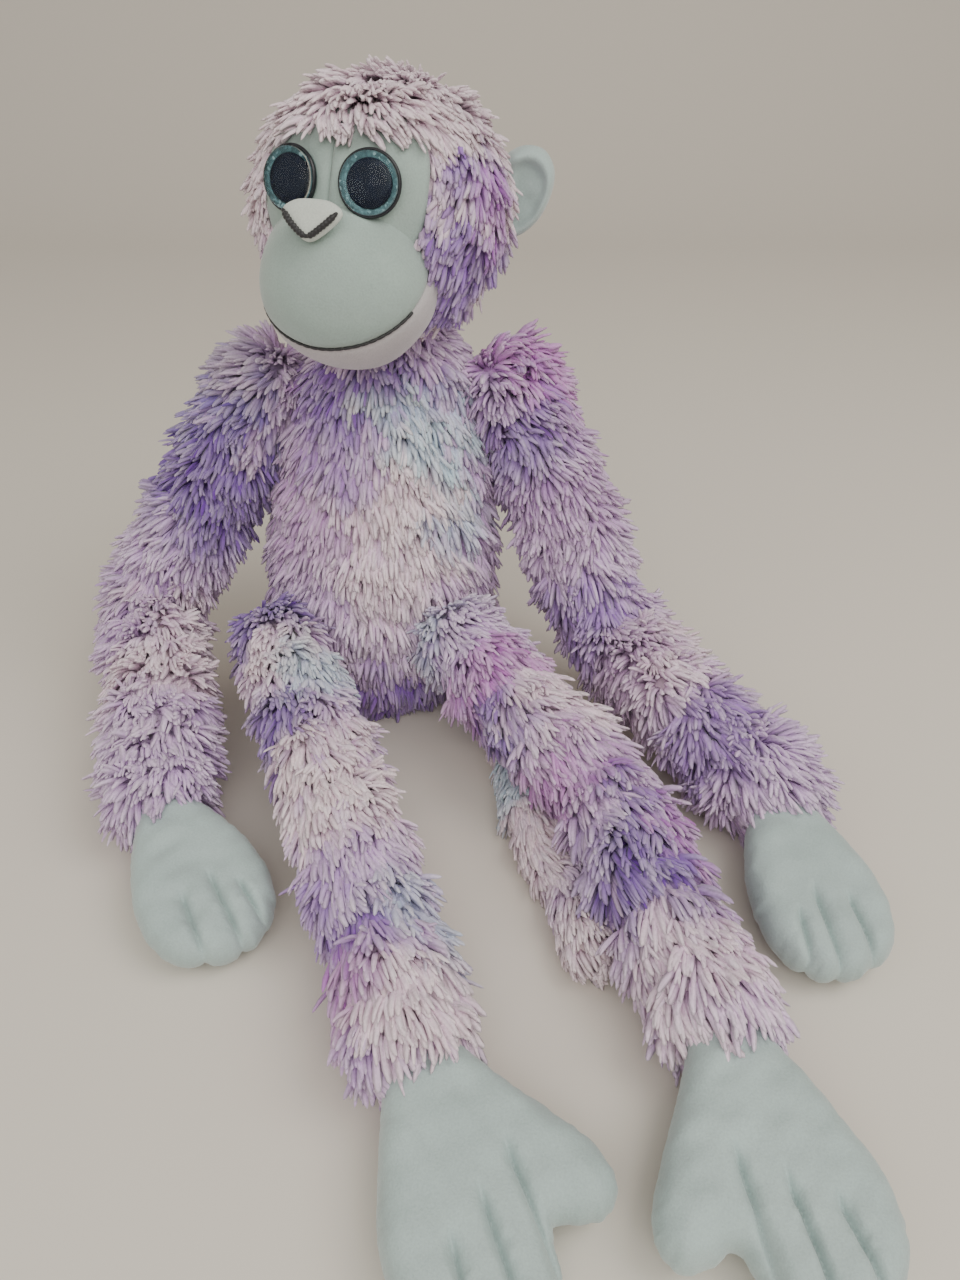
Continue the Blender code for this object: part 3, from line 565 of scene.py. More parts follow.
ARM_BLOTS = {
    "right": (
        # The first blot is painted shadow: grey at the top of the right arm by the body.
        (0.02, 10, 18, "painted_shadow_grey", 0.5), (0.36, -20, 42, "blue", 1.0), (0.42, 50, 34, "deep", 1.0),
        (0.98, 45, 20, "purple", 0.75), (0.75, -40, 30, "lilac", 0.8), (1.35, 0, 44, "cream", 0.85),
        (1.75, -30, 32, "lilac", 0.8), (1.2, -70, 22, "lavender", 0.8),
    ),
    "left": (
        (0.02, -20, 30, "magenta", 0.95), (0.2, 60, 26, "deep", 0.8), (0.45, -30, 36, "mauve", 0.8),
        (0.8, -60, 26, "lilac", 0.7), (0.95, 55, 26, "purple", 0.85), (1.3, -10, 32, "cream", 0.75),
        (1.25, 70, 20, "mauve", 0.7), (1.7, 30, 26, "purple", 0.75), (1.95, -50, 20, "lilac", 0.7),
    ),
}
LEG_BLOTS = {
    "right": (
        (-0.12, -10, 32, "deep", 1.0), (0.22, -10, 24, "cream", 0.9), (0.35, 40, 24, "mint", 0.8),
        (0.62, -60, 25, "deep", 0.95), (0.62, 65, 20, "lavender", 0.7), (0.98, 10, 40, "cream", 1.0),
        (1.52, -45, 34, "purple", 1.0), (1.72, -70, 22, "magenta", 0.7), (1.36, 45, 24, "lilac", 0.8),
        (1.62, 65, 22, "mint", 0.7), (1.85, 10, 26, "cream", 0.9),
    ),
    "left": (
        (-0.1, 40, 26, "mint", 0.75), (0.08, -10, 26, "lilac", 0.9), (0.36, 30, 27, "magenta", 0.95),
        (0.52, 75, 24, "deep", 0.9), (0.62, -45, 30, "cream", 0.85), (0.95, 10, 28, "mauve", 0.85),
        (0.9, 80, 22, "magenta", 0.7), (1.42, 10, 38, "deep", 1.0), (1.3, -70, 20, "magenta", 0.7),
        (1.2, 85, 18, "lilac", 0.6), (1.85, 10, 38, "cream", 0.8), (2.0, -40, 22, "lilac", 0.7),
    ),
}


def limb_fur(side, kind, joints, radius, blots, tip_way):
    """A limb's pile in two pieces: one from the body past the middle joint, one on to the cuff."""
    inward = -1 if side == "left" else 1
    spots = [
        (limb_spot(joints, along, around, radius, inward), reach * MM, name, strength)
        for along, around, reach, name, strength in blots
    ]
    seed = {"arm": 100, "leg": 200}[kind] + (side == "left") * 50
    dye = dye_field("lavender", spots, seed)
    end = joints[2] - tip_way * CUFF
    line = resampled((joints[0], joints[0] * 0.5 + joints[1] * 0.5, joints[1],
                      joints[1] * 0.5 + joints[2] * 0.5, end), 34)
    way_in = unit(joints[1] - joints[0])
    way_out = unit(joints[2] - joints[1])
    halfway = (joints[1] + joints[2]) / 2
    swell = waves(seed + 5, 60 * MM)
    near = (line - halfway) @ way_out < 0
    radii = radius * (1 + 0.035 * swell(line))
    upper_line = line[: near.sum() + 1]
    lower_line = line[near.sum() :]
    upper = domed_tube(upper_line, radii[: near.sum() + 1], ends=(True, False))
    lower = domed_tube(lower_line, radii[near.sum() :], ends=(False, True))
    names = ("upper_arm", "forearm") if kind == "arm" else ("thigh", "shin")
    comb = limb_comb(kind, way_in, way_out, joints, seed)

    def in_upper(points):
        return (points - halfway) @ way_out < 0.5 * MM

    def in_lower(points):
        past = (points - joints[2]) @ way_out
        return ((points - halfway) @ way_out > -0.5 * MM) & (past < CUFF)

    first = fur_piece(f"{side}_{names[0]}_fur", upper, in_upper, comb, dye, seed + 1)
    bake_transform(first)
    second = fur_piece(f"{side}_{names[1]}_fur", lower, in_lower, comb, dye, seed + 2)
    for piece, name, body in ((first, names[0], None), (second, names[1], f"{side}_{names[1]}")):
        nodes = (f"{side}_{name}_fur_cover", f"{side}_{name}_stuffing")
        dress(piece, body, kind + "_fur", nodes)


def limb_way(points, joints, way_in, way_out):
    """Along the limb, turning gently round the middle joint."""
    far = np.clip((points - joints[1]) @ unit(way_in + way_out) / (2 * BEND_REACH) + 0.5, 0, 1)[:, None]
    return unit(way_in * (1 - far) + way_out * far)


def limb_comb(kind, way_in, way_out, joints, seed):
    """An arm's locks stand out more, and lie away from the neck near the shoulder."""
    if kind == "leg":
        return combed(lambda p: limb_way(p, joints, way_in, way_out), 0.38, 0.16, 0.5, seed + 20)
    aside = np.array((math.copysign(0.9, joints[0][0] - joint_at("neck_turn")[0]), 0, 0))

    def way(points):
        near = np.clip(1 - np.linalg.norm(points - joints[0], axis=1) / SHOULDER_REACH, 0, 1)[:, None]
        return limb_way(points, joints, way_in, way_out) + aside * near * 1.6

    return combed(way, 0.6, 0.18, 0.55, seed + 20)


def limb_tip(side, part):
    """The direction from a wrist or ankle to the middle of its hand or foot."""
    joint = "wrist" if part == "hand" else "ankle"
    return unit(node_points(f"{side}_{part}_stuffing").mean(0) - joint_at(f"{side}_{joint}_bend"))


for side in ("right", "left"):
    for kind, hinges, radius, blots, part in (
        ("arm", ("shoulder_swing", "elbow_bend", "wrist_bend"), ARM_RADIUS, ARM_BLOTS, "hand"),
        ("leg", ("hip_swing", "knee_bend", "ankle_bend"), LEG_RADIUS, LEG_BLOTS, "foot"),
    ):
        joints = [joint_at(f"{side}_{hinge}") for hinge in hinges]
        limb_fur(side, kind, joints, radius, blots[side], limb_tip(side, part))


def remeshed(name, voxel, push):
    """A smooth skin round a CAD node: points and triangles, moved outward by push."""
    source = NODES[name]
    work = bpy.data.objects.new("skin_work", source.data.copy())
    bpy.context.scene.collection.objects.link(work)
    remesh = work.modifiers.new("remesh", "REMESH")
    remesh.mode = "VOXEL"
    remesh.voxel_size = voxel
    relaxed = work.modifiers.new("relax", "SMOOTH")
    relaxed.iterations = 4
    relaxed.factor = 0.5
    settle_modifiers(work)
    points, corners = triangles(work.data)
    normals, _ = smooth_normals(points, corners)
    bpy.data.objects.remove(work)
    return points + normals * push, corners


TORSO_LOW, TORSO_HIGH = (np.array(c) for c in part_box("torso_fur_cover"))
TORSO_MID = (TORSO_LOW + TORSO_HIGH) / 2
TORSO_LEAN = 20 * MM
torso_skin = remeshed("torso_stuffing", 3.5 * MM, 2.6 * MM)
torso_skin[0][:, 0] = TORSO_MID[0] + (torso_skin[0][:, 0] - TORSO_MID[0]) * 1.06
TORSO_BLOTS = (
    (0.9, -5, 26, "deep", 1.0), (0.9, 45, 22, "purple", 0.9), (0.88, -50, 24, "purple", 0.7),
    (0.8, 75, 22, "magenta", 0.7), (0.76, 42, 34, "mint", 1.0), (0.62, 50, 26, "mint", 0.8),
    (0.64, 0, 38, "cream", 1.0), (0.42, 12, 34, "cream", 0.8), (0.6, -60, 34, "mauve", 0.85),
    (0.74, -25, 18, "purple", 0.6), (0.3, -45, 30, "lilac", 0.8), (0.22, 30, 26, "lilac", 0.8),
    (0.08, 0, 26, "purple", 1.0), (0.07, 35, 20, "deep", 0.8), (0.16, -60, 22, "deep", 0.8),
    (0.6, 180, 40, "cream", 0.9), (0.35, 150, 34, "purple", 0.9), (0.85, 200, 30, "magenta", 0.8),
    (0.25, 215, 30, "mint", 0.7),
)


def torso_spot(height, azimuth):
    a = math.radians(azimuth)
    z = TORSO_LOW[2] + height * (TORSO_HIGH[2] - TORSO_LOW[2])
    back = TORSO_LEAN * (height - 0.5)
    centre = np.array((TORSO_MID[0], TORSO_MID[1] + back, z))
    ring = torso_skin[0][np.abs(torso_skin[0][:, 2] - z) < 4 * MM]
    return ring[np.argmax(unit(ring - centre) @ np.array((math.sin(a), -math.cos(a), 0)))]


torso_dye = dye_field(
    "lavender", [(torso_spot(h, a), reach * MM, name, s) for h, a, reach, name, s in TORSO_BLOTS], 300
)
torso_comb = combed(-UP, 0.42, 0.3, 0.5, 320)
PARTING = TORSO_MID[1] + 4 * MM


def half_skin(skin, front):
    """The skin in front of the parting or behind it, without unused points."""
    points, corners = skin
    middle = points[corners].mean(1)[:, 1]
    kept = corners[(middle < PARTING) if front else (middle >= PARTING)]
    used, renumbered = np.unique(kept.ravel(), return_inverse=True)
    return points[used], renumbered.reshape(-1, 3)


def clear_of_floor(points):
    return points[:, 2] > 2 * MM


for part, front in (("front", True), ("back", False)):
    skin = half_skin(torso_skin, front)
    torso = fur_piece(f"torso_{part}_fur", skin, clear_of_floor, torso_comb, torso_dye, 330 + front)
    dress(torso, "torso", "torso_fur", ("torso_fur_cover", "torso_stuffing"))

# --- tail

TAIL_RADIUS = 8.0 * MM
TAIL_SIDES = 14
# How far along the tail's forty steps, reach in millimetres, dye.
TAIL_BLOTS = (
    (1, 20, "lavender"), (8, 26, "deep"), (17, 20, "purple"), (25, 22, "mint"),
    (31, 20, "cream"), (36, 16, "lilac"), (39, 14, "cream"),
)


def down_the_middle(name, slices):
    """A tail piece's centre line, from slices square to Y."""
    points = node_points(name)
    edges = np.linspace(points[:, 1].max(), points[:, 1].min(), slices + 1)
    line = []
    for high, low in zip(edges[:-1], edges[1:]):
        band = points[(points[:, 1] <= high + 2 * MM) & (points[:, 1] >= low - 2 * MM)]
        if len(band) > 5:
            line.append(((band.max(0) + band.min(0)) / 2))
    line = np.array(line)
    line[:, 1] = np.linspace(edges[0], edges[-1], len(line) + 2)[1:-1]
    return line


tail_root = joint_at("tail_base_swing")
tail_middle = joint_at("tail_tip_swing")
tail_tip = down_the_middle("tail_tip_fur_cover", 4)
tail_base = down_the_middle("tail_base_fur_cover", 7)
tail_base = tail_base[tail_base[:, 1] < tail_root[1] - 18 * MM]
tail_line = resampled(np.vstack((tail_root, tail_base[:-1], tail_middle, tail_tip)), 40)
tail_way = tail_line[-1] - tail_line[-4]
tail_line = np.vstack((tail_line, tail_line[-1] + unit(tail_way) * 6 * MM))
tail_spots = [
    (tail_line[k], reach * MM, name, 0.9)
    for k, reach, name in TAIL_BLOTS
]
tail_dye = dye_field("pale", tail_spots, 400)


def tail_way_at(points):
    near = np.argmin(np.linalg.norm(points[:, None] - tail_line[None], axis=2), 1)
    return unit(np.gradient(tail_line, axis=0))[near]


def everywhere(points):
    return points[:, 2] > -1


def tail_radii(line):
    return TAIL_RADIUS * np.clip(0.55 + np.linalg.norm(line - tail_root, axis=1) / (35 * MM), 0.55, 1)


def tail_length(points):
    return np.clip(0.4 + np.linalg.norm(points - tail_root, axis=1) / (40 * MM), 0.4, 1)


tail_comb = combed(tail_way_at, 0.35, 0.1, 0.35, 420)
tail_split = int(np.argmin(np.linalg.norm(tail_line - tail_middle, axis=1))) + 3
for name, line, ends, seed in (
    ("tail_base", tail_line[: tail_split + 1], (True, False), 430),
    ("tail_tip", tail_line[tail_split:], (False, True), 431),
):
    skin = domed_tube(line, tail_radii(line), TAIL_SIDES, ends)
    tail = fur_piece(
        f"{name}_fur", skin, everywhere, tail_comb, tail_dye, seed,
        density=0.38, length=9 * MM, length_at=tail_length, width=1.1 * MM,
    )
    body = name
    if name == "tail_base":
        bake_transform(tail)
        body = None
    dress(tail, body, "tail_fur", (f"{name}_fur_cover", f"{name}_stuffing"))

# --- head

nod_axis = np.array(JOINTS["neck_nod"]["axis"], float)
head_low, head_high = (np.array(c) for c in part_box("head_stuffing"))
HEAD_HALF = np.array((45.0, 46.0, 46.0)) * MM
HEAD_AT = (head_low + head_high) / 2
HEAD_AT[2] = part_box("head_fur_hood")[1].z - HEAD_HALF[2]
HEAD_TURN = math.atan2(nod_axis[1], nod_axis[0])
HEAD = Matrix.Translation(HEAD_AT) @ Matrix.Rotation(HEAD_TURN, 4, "Z")
HEAD_R = np.array(HEAD.to_3x3())
FACE_HALF = (31.0 * MM, 25.0 * MM)
FACE_UP = 9.0 * MM
MUZZLE_AT = np.array((0, -34.0, -22.0)) * MM
MUZZLE_HALF = np.array((33.0, 31.0, 31.0)) * MM


def to_world(points):
    return np.asarray(points, float) @ HEAD_R.T + HEAD_AT


def to_head(points):
    return (np.asarray(points, float) - HEAD_AT) @ HEAD_R


def ellipsoid(centre, half, around=48, rows=30):
    tilts = np.linspace(0, math.pi, rows + 1)[1:-1]
    turns = np.arange(around) * 2 * math.pi / around
    rings = []
    for t in tilts:
        ring = np.stack((np.sin(t) * np.cos(turns), np.sin(t) * np.sin(turns), np.cos(t) + 0 * turns), 1)
        rings.append(centre + half * ring)
    return rings_to_mesh(rings)


def face_share(local):
    """Below 1 inside the bare face."""
    across = np.abs(local[:, 0] / FACE_HALF[0])
    height = np.abs((local[:, 2] - FACE_UP) / FACE_HALF[1])
    return (across**2.5 + height**2.5) ** 0.4


BROW = 27.5 * MM


def hood_keeps(points):
    local = to_head(points)
    bare = (face_share(local) < 1.0) & (local[:, 1] < 0) & (local[:, 2] < BROW)
    muzzle = (((local - MUZZLE_AT) / (MUZZLE_HALF + 1.5 * MM)) ** 2).sum(1) < 1
    return ~bare & ~muzzle


def hood_length(points):
    local = to_head(points)
    near = np.where((local[:, 1] < 0) & (local[:, 2] < BROW - 3 * MM), face_share(local), 2)
    return np.clip(0.55 + (near - 1) * 1.5, 0.55, 1)


CROWN = np.array((0.05, 0.7, 0.72))
PARTING_LEFT = 12 * MM
WHORL = [waves(510 + k, 9 * MM) for k in range(3)]


def hood_way(points):
    """Down from the crown, and sideways off the brow."""
    local = to_head(points)
    way = unit(local / HEAD_HALF - CROWN * 1.3)
    brow = np.clip(1 - np.abs(local[:, 2] - 32 * MM) / (22 * MM), 0, 1) * (local[:, 1] < 0)
    way[:, 0] += brow * np.clip((local[:, 0] + PARTING_LEFT) / (20 * MM), -1, 1) * 0.9
    near = np.exp(-((np.linalg.norm(local / HEAD_HALF - unit(CROWN), axis=1) / 0.4) ** 2))
    way += near[:, None] * 2.2 * np.stack([f(points) for f in WHORL], 1)
    return way @ HEAD_R.T


HOOD_FLAT = 0.88
HOOD_BLOTS = (
    ((0.92, -0.35, -0.2), 36, "purple", 1.0), ((0.9, -0.4, -0.62), 26, "purple", 1.0),
    ((0.98, -0.1, 0.05), 16, "magenta", 0.6), ((0.6, -0.5, -0.9), 22, "deep", 0.8),
    ((-0.9, -0.3, -0.5), 22, "mauve", 0.6), ((0.0, 0.9, -0.2), 36, "lavender", 0.9),
    ((0.5, 0.9, -0.6), 30, "purple", 0.8), ((-0.6, 0.8, 0.1), 26, "mint", 0.6),
)
hood_spots = [(to_world(np.array(p) * HEAD_HALF), r * MM, n, s) for p, r, n, s in HOOD_BLOTS]
hood_dye = dye_field("pale", hood_spots, 500)
hood_points, hood_faces = ellipsoid(np.zeros(3), HEAD_HALF - 1.6 * MM)
hood_points[:, 2] = np.where(hood_points[:, 2] > 0, hood_points[:, 2] * HOOD_FLAT, hood_points[:, 2])
hood_comb = combed(hood_way, 0.34, 0.14, 0.4, 520)
hood = fur_piece(
    "head_fur", (to_world(hood_points), hood_faces), hood_keeps, hood_comb, hood_dye, 530,
    density=0.42, length_at=hood_length, width=1.3 * MM,
)
dress(hood, "head", "hood_fur", ("head_fur_hood", "head_stuffing"))

NECK_HALF = np.array((17, 17, 13.6)) * MM
neck_skin = ellipsoid(joint_at("neck_turn"), NECK_HALF, 24, 14)
collar = fur_piece("collar_fur", neck_skin, everywhere, combed(-UP, 0.6, 0.3, 0.6, 540), torso_dye, 541)
dress(collar, "neck", "torso_fur", ("neck_stuffing",))

# --- suede face

SUEDE = suede_material("mint_suede", MINT)
FACE_SUEDE = suede_material("face_suede", FACE_MINT)
CHIN_SUEDE = suede_material("chin_suede", CHIN)
NOSE_SUEDE = suede_material("nose_suede", NOSE_WHITE, 0.03)
THREAD = thread_material("black_thread")
SEAM_WIDE = 0.9 * MM


def face_panel(sign):
    """One half of the bare face: a thin sheet on the head, dipping at the centre seam."""
    rows, steps = 40, 26
    half = HEAD_HALF - 0.4 * MM
    rings = []
    rumple = waves(600 + sign, 14 * MM)
    for r in range(rows + 1):
        z_share = -1 + 2 * r / rows
        z = min(FACE_UP + z_share * FACE_HALF[1], BROW + 1.5 * MM + 0.1 * MM * r)
        reach = FACE_HALF[0] * max(1 - abs(z_share) ** 2.5, 0.0) ** 0.4
        x = sign * (0.15 * MM + np.linspace(0, 1, steps) * max(reach - 0.15 * MM, 0.05 * MM))
        tall = half[2] * (HOOD_FLAT if z > 0 else 1)
        y = -half[1] * np.sqrt(np.maximum(1 - (x / half[0]) ** 2 - (z / tall) ** 2, 0.02))
        y = y + 1.0 * MM * np.exp(-((x / SEAM_WIDE) ** 2))
        line = np.stack((x, y, np.full(steps, z)), 1)
        line[:, 1] += 0.25 * MM * rumple(line)
        rings.append(line)
    points = np.concatenate(rings)
    faces = grid_faces(rows + 1, steps)
    side = "left" if sign > 0 else "right"
    made = mesh_object(f"face_panel_{side}_suede", to_world(points), faces, FACE_SUEDE)
    thick = made.modifiers.new("cloth", "SOLIDIFY")
    thick.thickness = 1.2 * MM
    thick.offset = 0
    settle_modifiers(made)
    smoothed(made.data)
    dress(made, "head", "mint_suede", (f"face_panel_{side}",))


face_panel(-1)
face_panel(1)

MOUTH_DROP = 21 * MM
MOUTH_SLOPE = math.radians(40)
mouth_at = MUZZLE_AT + np.array((0, -MUZZLE_HALF[1], -MOUTH_DROP))
mouth_normal = np.array((0, -math.sin(MOUTH_SLOPE), math.cos(MOUTH_SLOPE)))
muzzle_rumple = waves(620, 26 * MM)


def muzzle_surface(points):
    """The muzzle's egg shape, narrower at the top, with a groove along the mouth."""
    local = points - MUZZLE_AT
    out = unit(local / MUZZLE_HALF**2)
    height = local[:, 2] / MUZZLE_HALF[2]
    shaped = local.copy()
    shaped[:, 0] *= 1 - 0.07 * np.clip(height, 0, 1) ** 1.5
    off = np.abs((points - mouth_at) @ mouth_normal)
    groove = 0.9 * MM * np.exp(-((off / (1.3 * MM)) ** 2))
    shaped += out * (0.25 * MM * muzzle_rumple(points) - groove)[:, None]
    return shaped + MUZZLE_AT


def cut_by_mouth(name, material, above):
    """The muzzle above or below the mouth, closed over the cut."""
    points, faces = ellipsoid(MUZZLE_AT, MUZZLE_HALF, 110, 84)
    made = mesh_object(name, points, faces, material)
    work = bmesh.new()
    work.from_mesh(made.data)
    normal = Vector(mouth_normal) if above else -Vector(mouth_normal)
    place = Vector(mouth_at) + normal * 0.1 * MM
    everything = work.verts[:] + work.edges[:] + work.faces[:]
    cut = bmesh.ops.bisect_plane(work, geom=everything, plane_co=place, plane_no=normal, clear_inner=True)
    rim = [e for e in cut["geom_cut"] if isinstance(e, bmesh.types.BMEdge)]
    bmesh.ops.edgeloop_fill(work, edges=rim)
    work.to_mesh(made.data)
    work.free()
    shaped = muzzle_surface(np.array([v.co for v in made.data.vertices]))
    set_points(made.data, to_world(shaped))
    return made


muzzle = cut_by_mouth("muzzle_suede", FACE_SUEDE, True)
chin = cut_by_mouth("chin_suede", CHIN_SUEDE, False)
dress(muzzle, "head", "mint_suede", ("muzzle_cover", "muzzle_stuffing"))
dress(chin, "head", "mint_suede", ("chin_panel",))


def mouth_line(count, first, last, off):
    """Places on the muzzle along the mouth, between two angles from the front."""
    scaled = mouth_normal * MUZZLE_HALF
    level = (mouth_at - MUZZLE_AT) @ mouth_normal / np.linalg.norm(scaled)
    scaled = unit(scaled)
    side = np.array((1.0, 0, 0))
    front = np.cross(scaled, side)
    if front[1] > 0:
        front = -front
    a = np.radians(np.linspace(first, last, count))[:, None]
    q = scaled * level + math.sqrt(1 - level**2) * (np.cos(a) * front + np.sin(a) * side)
    out = unit(q / MUZZLE_HALF)
    return muzzle_surface(MUZZLE_AT + q * MUZZLE_HALF) + out * off


MOUTH_STITCH = 3.2 * MM
line = mouth_line(240, -66, 66, 0.45 * MM)
run = np.concatenate(((0,), np.cumsum(np.linalg.norm(np.diff(line, axis=0), axis=1))))
pulse = np.abs(np.sin(math.pi * run / MOUTH_STITCH)) ** 0.5
radii = (0.42 + 0.22 * pulse) * MM
mouth = mesh_object("mouth_stitching", *domed_tube(to_world(line), radii, 10), THREAD)
dress(mouth, "head", "black_thread", ("mouth_embroidery",))

NOSE = Matrix.Translation(Vector((0, -58.6, 3.5)) * MM) @ Matrix.Rotation(math.radians(60), 4, "X")
NOSE = HEAD @ NOSE @ Matrix.Rotation(math.radians(90), 4, "Z")
NOSE_OUTLINE = ((-6.4, 0), (-3, -6), (3, -11), (6.6, -7), (7.4, 0), (6.6, 7), (3, 11), (-3, 6))


def placed(matrix, points):
    return np.asarray(points, float) @ np.array(matrix.to_3x3()).T + np.array(matrix.translation)


def closed_curve(points, count):
    """A smooth closed flat outline through the given points, in metres."""
    flat = np.array(points, float) * MM
    n = len(flat)
    line = []
    for k in range(count):
        i = int(k / count * n)
        t = k / count * n - i
        line.append(spline(*(flat[(i + j - 1) % n] for j in range(4)), t))
    return np.array(line)


def cushion(outline, thick, rings=9):
    """A small domed cushion with a rolled edge."""
    centre = outline.mean(0)
    layers = []
    for k in range(2 * rings - 1):
        a = math.pi * (k + 1) / (2 * rings)
        share = math.sin(a) ** 0.55
        flat = centre + (outline - centre) * share
        layers.append(np.column_stack((flat, np.full(len(flat), -math.cos(a) * thick / 2))))
    return rings_to_mesh(layers)


points, faces = cushion(closed_curve(NOSE_OUTLINE, 48), 5.6 * MM)
nose = mesh_object("nose_suede", placed(NOSE, points), faces, NOSE_SUEDE)
dress(nose, "head", "mint_suede", ("nose_bridge",))

NOSTRIL_LINE = ((2.6, -9.8, 2.1), (-2.0, -5.4, 2.5), (-5.2, 0, 2.0), (-2.0, 5.4, 2.5), (2.6, 9.8, 2.1))
NOSTRIL_RADIUS = 0.95 * MM
stroke = resampled(np.array(NOSTRIL_LINE) * MM, 90)
pulse = 1 + 0.12 * np.sin(np.arange(90) * 1.3)
stops = (0, 0.08, 0.44, 0.5, 0.56, 0.92, 1)
body = np.interp(np.linspace(0, 1, 90), stops, (0.6, 1.15, 1.1, 0.6, 1.1, 1.25, 0.6))
tube = domed_tube(placed(NOSE, stroke), body * pulse * NOSTRIL_RADIUS, 12)
dress(mesh_object("nostril_stitching", *tube, THREAD), "head", "black_thread", ("nostril_embroidery",))

# --- eyes

EYE_RADIUS = 10.5 * MM
WASHER_TO_BASE = 4.8 * MM
IRIS = iris_material()
PUPIL = plain_material("eye_pupil", (0.004, 0.005, 0.014), 0.3, Specular_IOR_Level=0.2)
RIM = plain_material("eye_rim", (0.008, 0.01, 0.014), 0.25)
LENS = lens_material()
WASHER = plain_material("washer_plastic", (0.72, 0.72, 0.68), 0.4)


def circles(profile, sides=72):
    a = np.arange(sides) * 2 * math.pi / sides
    return [np.stack((r * np.cos(a), r * np.sin(a), np.full(sides, h)), 1) for r, h in profile]


def turned(profile, place):
    """A profile of (radius, height) turned about the place's Z."""
    points, faces = rings_to_mesh(circles(profile))
    return placed(place, points), faces


def eye_place(side):
    """The eye's own frame: its origin on the face and Z out of the lens."""
    lens = node_points(f"eye_{side}_lens").mean(0)
    washer = node_points(f"eye_{side}_lock_washer").mean(0)
    out = Vector(unit(lens - washer))
    across = Vector((0, 0, 1)).cross(out).normalized()
    made = Matrix((across, out.cross(across), out)).transposed().to_4x4()
    made.translation = Vector(washer) + out * WASHER_TO_BASE
    return made


def arc(radius, height, wide, tall, first, last, count):
    """Profile points along an ellipse's arc between two angles."""
    turns = np.linspace(first, last, count)
    return tuple((radius + wide * math.cos(t), height + tall * math.sin(t)) for t in turns)


def rim_mesh(profile, place):
    """A closed ring whose section is the profile."""
    rings = circles(profile)
    n, sides = len(rings), len(rings[0])
    faces = []
    for r in range(n):
        low, high = r * sides, (r + 1) % n * sides
        faces += [(low + s, low + (s + 1) % sides, high + (s + 1) % sides, high + s) for s in range(sides)]
    return placed(place, np.concatenate(rings)), faces


# Profiles are (radius, height) in millimetres from the eye's base.
R = EYE_RADIUS / MM
IRIS_BACK = ((0.1, -2.4), (R - 0.8, -2.4), (R - 0.2, 0.2), (R, 0.6))
IRIS_PROFILE = IRIS_BACK + ((R - 0.2, 1.9), (8.2, 1.5), (0.1, 1.5))
PUPIL_PROFILE = ((0.1, 1.4), (7.4, 1.4), (7.6, 1.8), (7.4, 2.1), (4.6, 2.45), (0.1, 2.6))
RIM_PROFILE = arc(R - 0.1, 1.5, 0.62, 0.9, -math.pi, math.pi, 15)[:-1]
LENS_PROFILE = ((0.1, 2.7), (R - 0.9, 2.7), (R - 0.5, 3.0)) + arc(0, 3.0, R - 0.5, 4.2, 0.15, 1.55, 16)
EYE_SHAPES = (
    ("iris", IRIS, "iris_disc", "eye_glitter", IRIS_PROFILE, turned),
    ("pupil", PUPIL, "pupil", "eye_pupil", PUPIL_PROFILE, turned),
    ("rim", RIM, None, "eye_pupil", RIM_PROFILE, rim_mesh),
    ("lens", LENS, "lens", "eye_lens", LENS_PROFILE, turned),
)
for side in ("right", "left"):
    place = eye_place(side)
    for part, material, stands, slot, profile, shape in EYE_SHAPES:
        points, faces = shape([(r * MM, h * MM) for r, h in profile], place)
        made = mesh_object(f"eye_{side}_{part}_plastic", points, faces, material)
        dress(made, "head", slot, (f"eye_{side}_{stands}",) if stands else ())
        if part == "lens":
            made.visible_shadow = False
    NODES[f"eye_{side}_lock_washer"].data.materials.clear()
    NODES[f"eye_{side}_lock_washer"].data.materials.append(WASHER)

# --- ears


EAR_INWARD = 3.5 * MM
EAR_FORWARD = 1.0 * MM
EAR_TURN = math.radians(12)
EAR_OUTLINE = ((-2, -11), (2, -16), (9, -15), (16, -9), (20.5, 0), (21.5, 9), (17.5, 16), (10, 17.5), (3, 14),
               (-1, 7), (-2.5, -2))


def ear_piece(side):
    """A stuffed ear: a rolled rim round a dished inside, with a fold near its root."""
    sign = 1 if side == "left" else -1
    root = joint_at(f"{side}_ear_fold")
    low, high = (np.array(c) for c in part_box(f"ear_{side}_front_panel"))
    tall, wide = high[2] - low[2], 24 * MM
    inward = HEAD_R @ np.array((-sign * EAR_INWARD, -EAR_FORWARD, 0))
    turn = HEAD_TURN + EAR_TURN * sign
    frame_at = Matrix.Translation(root + inward) @ Matrix.Rotation(turn, 4, "Z")
    rim = closed_curve(EAR_OUTLINE, 64) * (1, tall / (34 * MM))
    rim[:, 0] *= sign
    centre = np.array((sign * (wide / 2 - 2.5 * MM), 0))
    rumple = waves(700 + sign, 9 * MM)
    layers = []
    for way, shares in ((-1, np.linspace(0.06, 1, 15)), (1, np.linspace(0.985, 0.06, 12))):
        for share in shares:
            flat = centre + (rim - centre) * share
            if way < 0:
                roll = 4.6 * MM * np.exp(-(((share - 0.84) / 0.17) ** 2))
                floor = 0.9 * MM + 0.6 * MM * share
                from_fold = np.abs(flat[:, 0]) - 5.5 * MM - 0.12 * flat[:, 1] * sign
                fold = 3.4 * MM * np.exp(-((from_fold / (2.2 * MM)) ** 2))
                deep = (roll + floor + fold * (1 - share**3)) * math.sqrt(max(1 - share**10, 0))
            else:
                deep = np.full(len(flat), 4.2 * MM * math.sqrt(max(1 - share**2.6, 0)))
            point = np.stack((flat[:, 0], way * deep, flat[:, 1]), 1)
            point[:, 1] += 0.35 * MM * rumple(point) * (1 - share**6)
            layers.append(point)
    points, faces = rings_to_mesh(layers)
    made = mesh_object(f"{side}_ear_suede", placed(frame_at, points), faces, SUEDE)
    dress(made, f"{side}_ear", "mint_suede", (f"ear_{side}_front_panel", f"ear_{side}_back_panel"))


ear_piece("right")
ear_piece("left")

# --- hands and feet

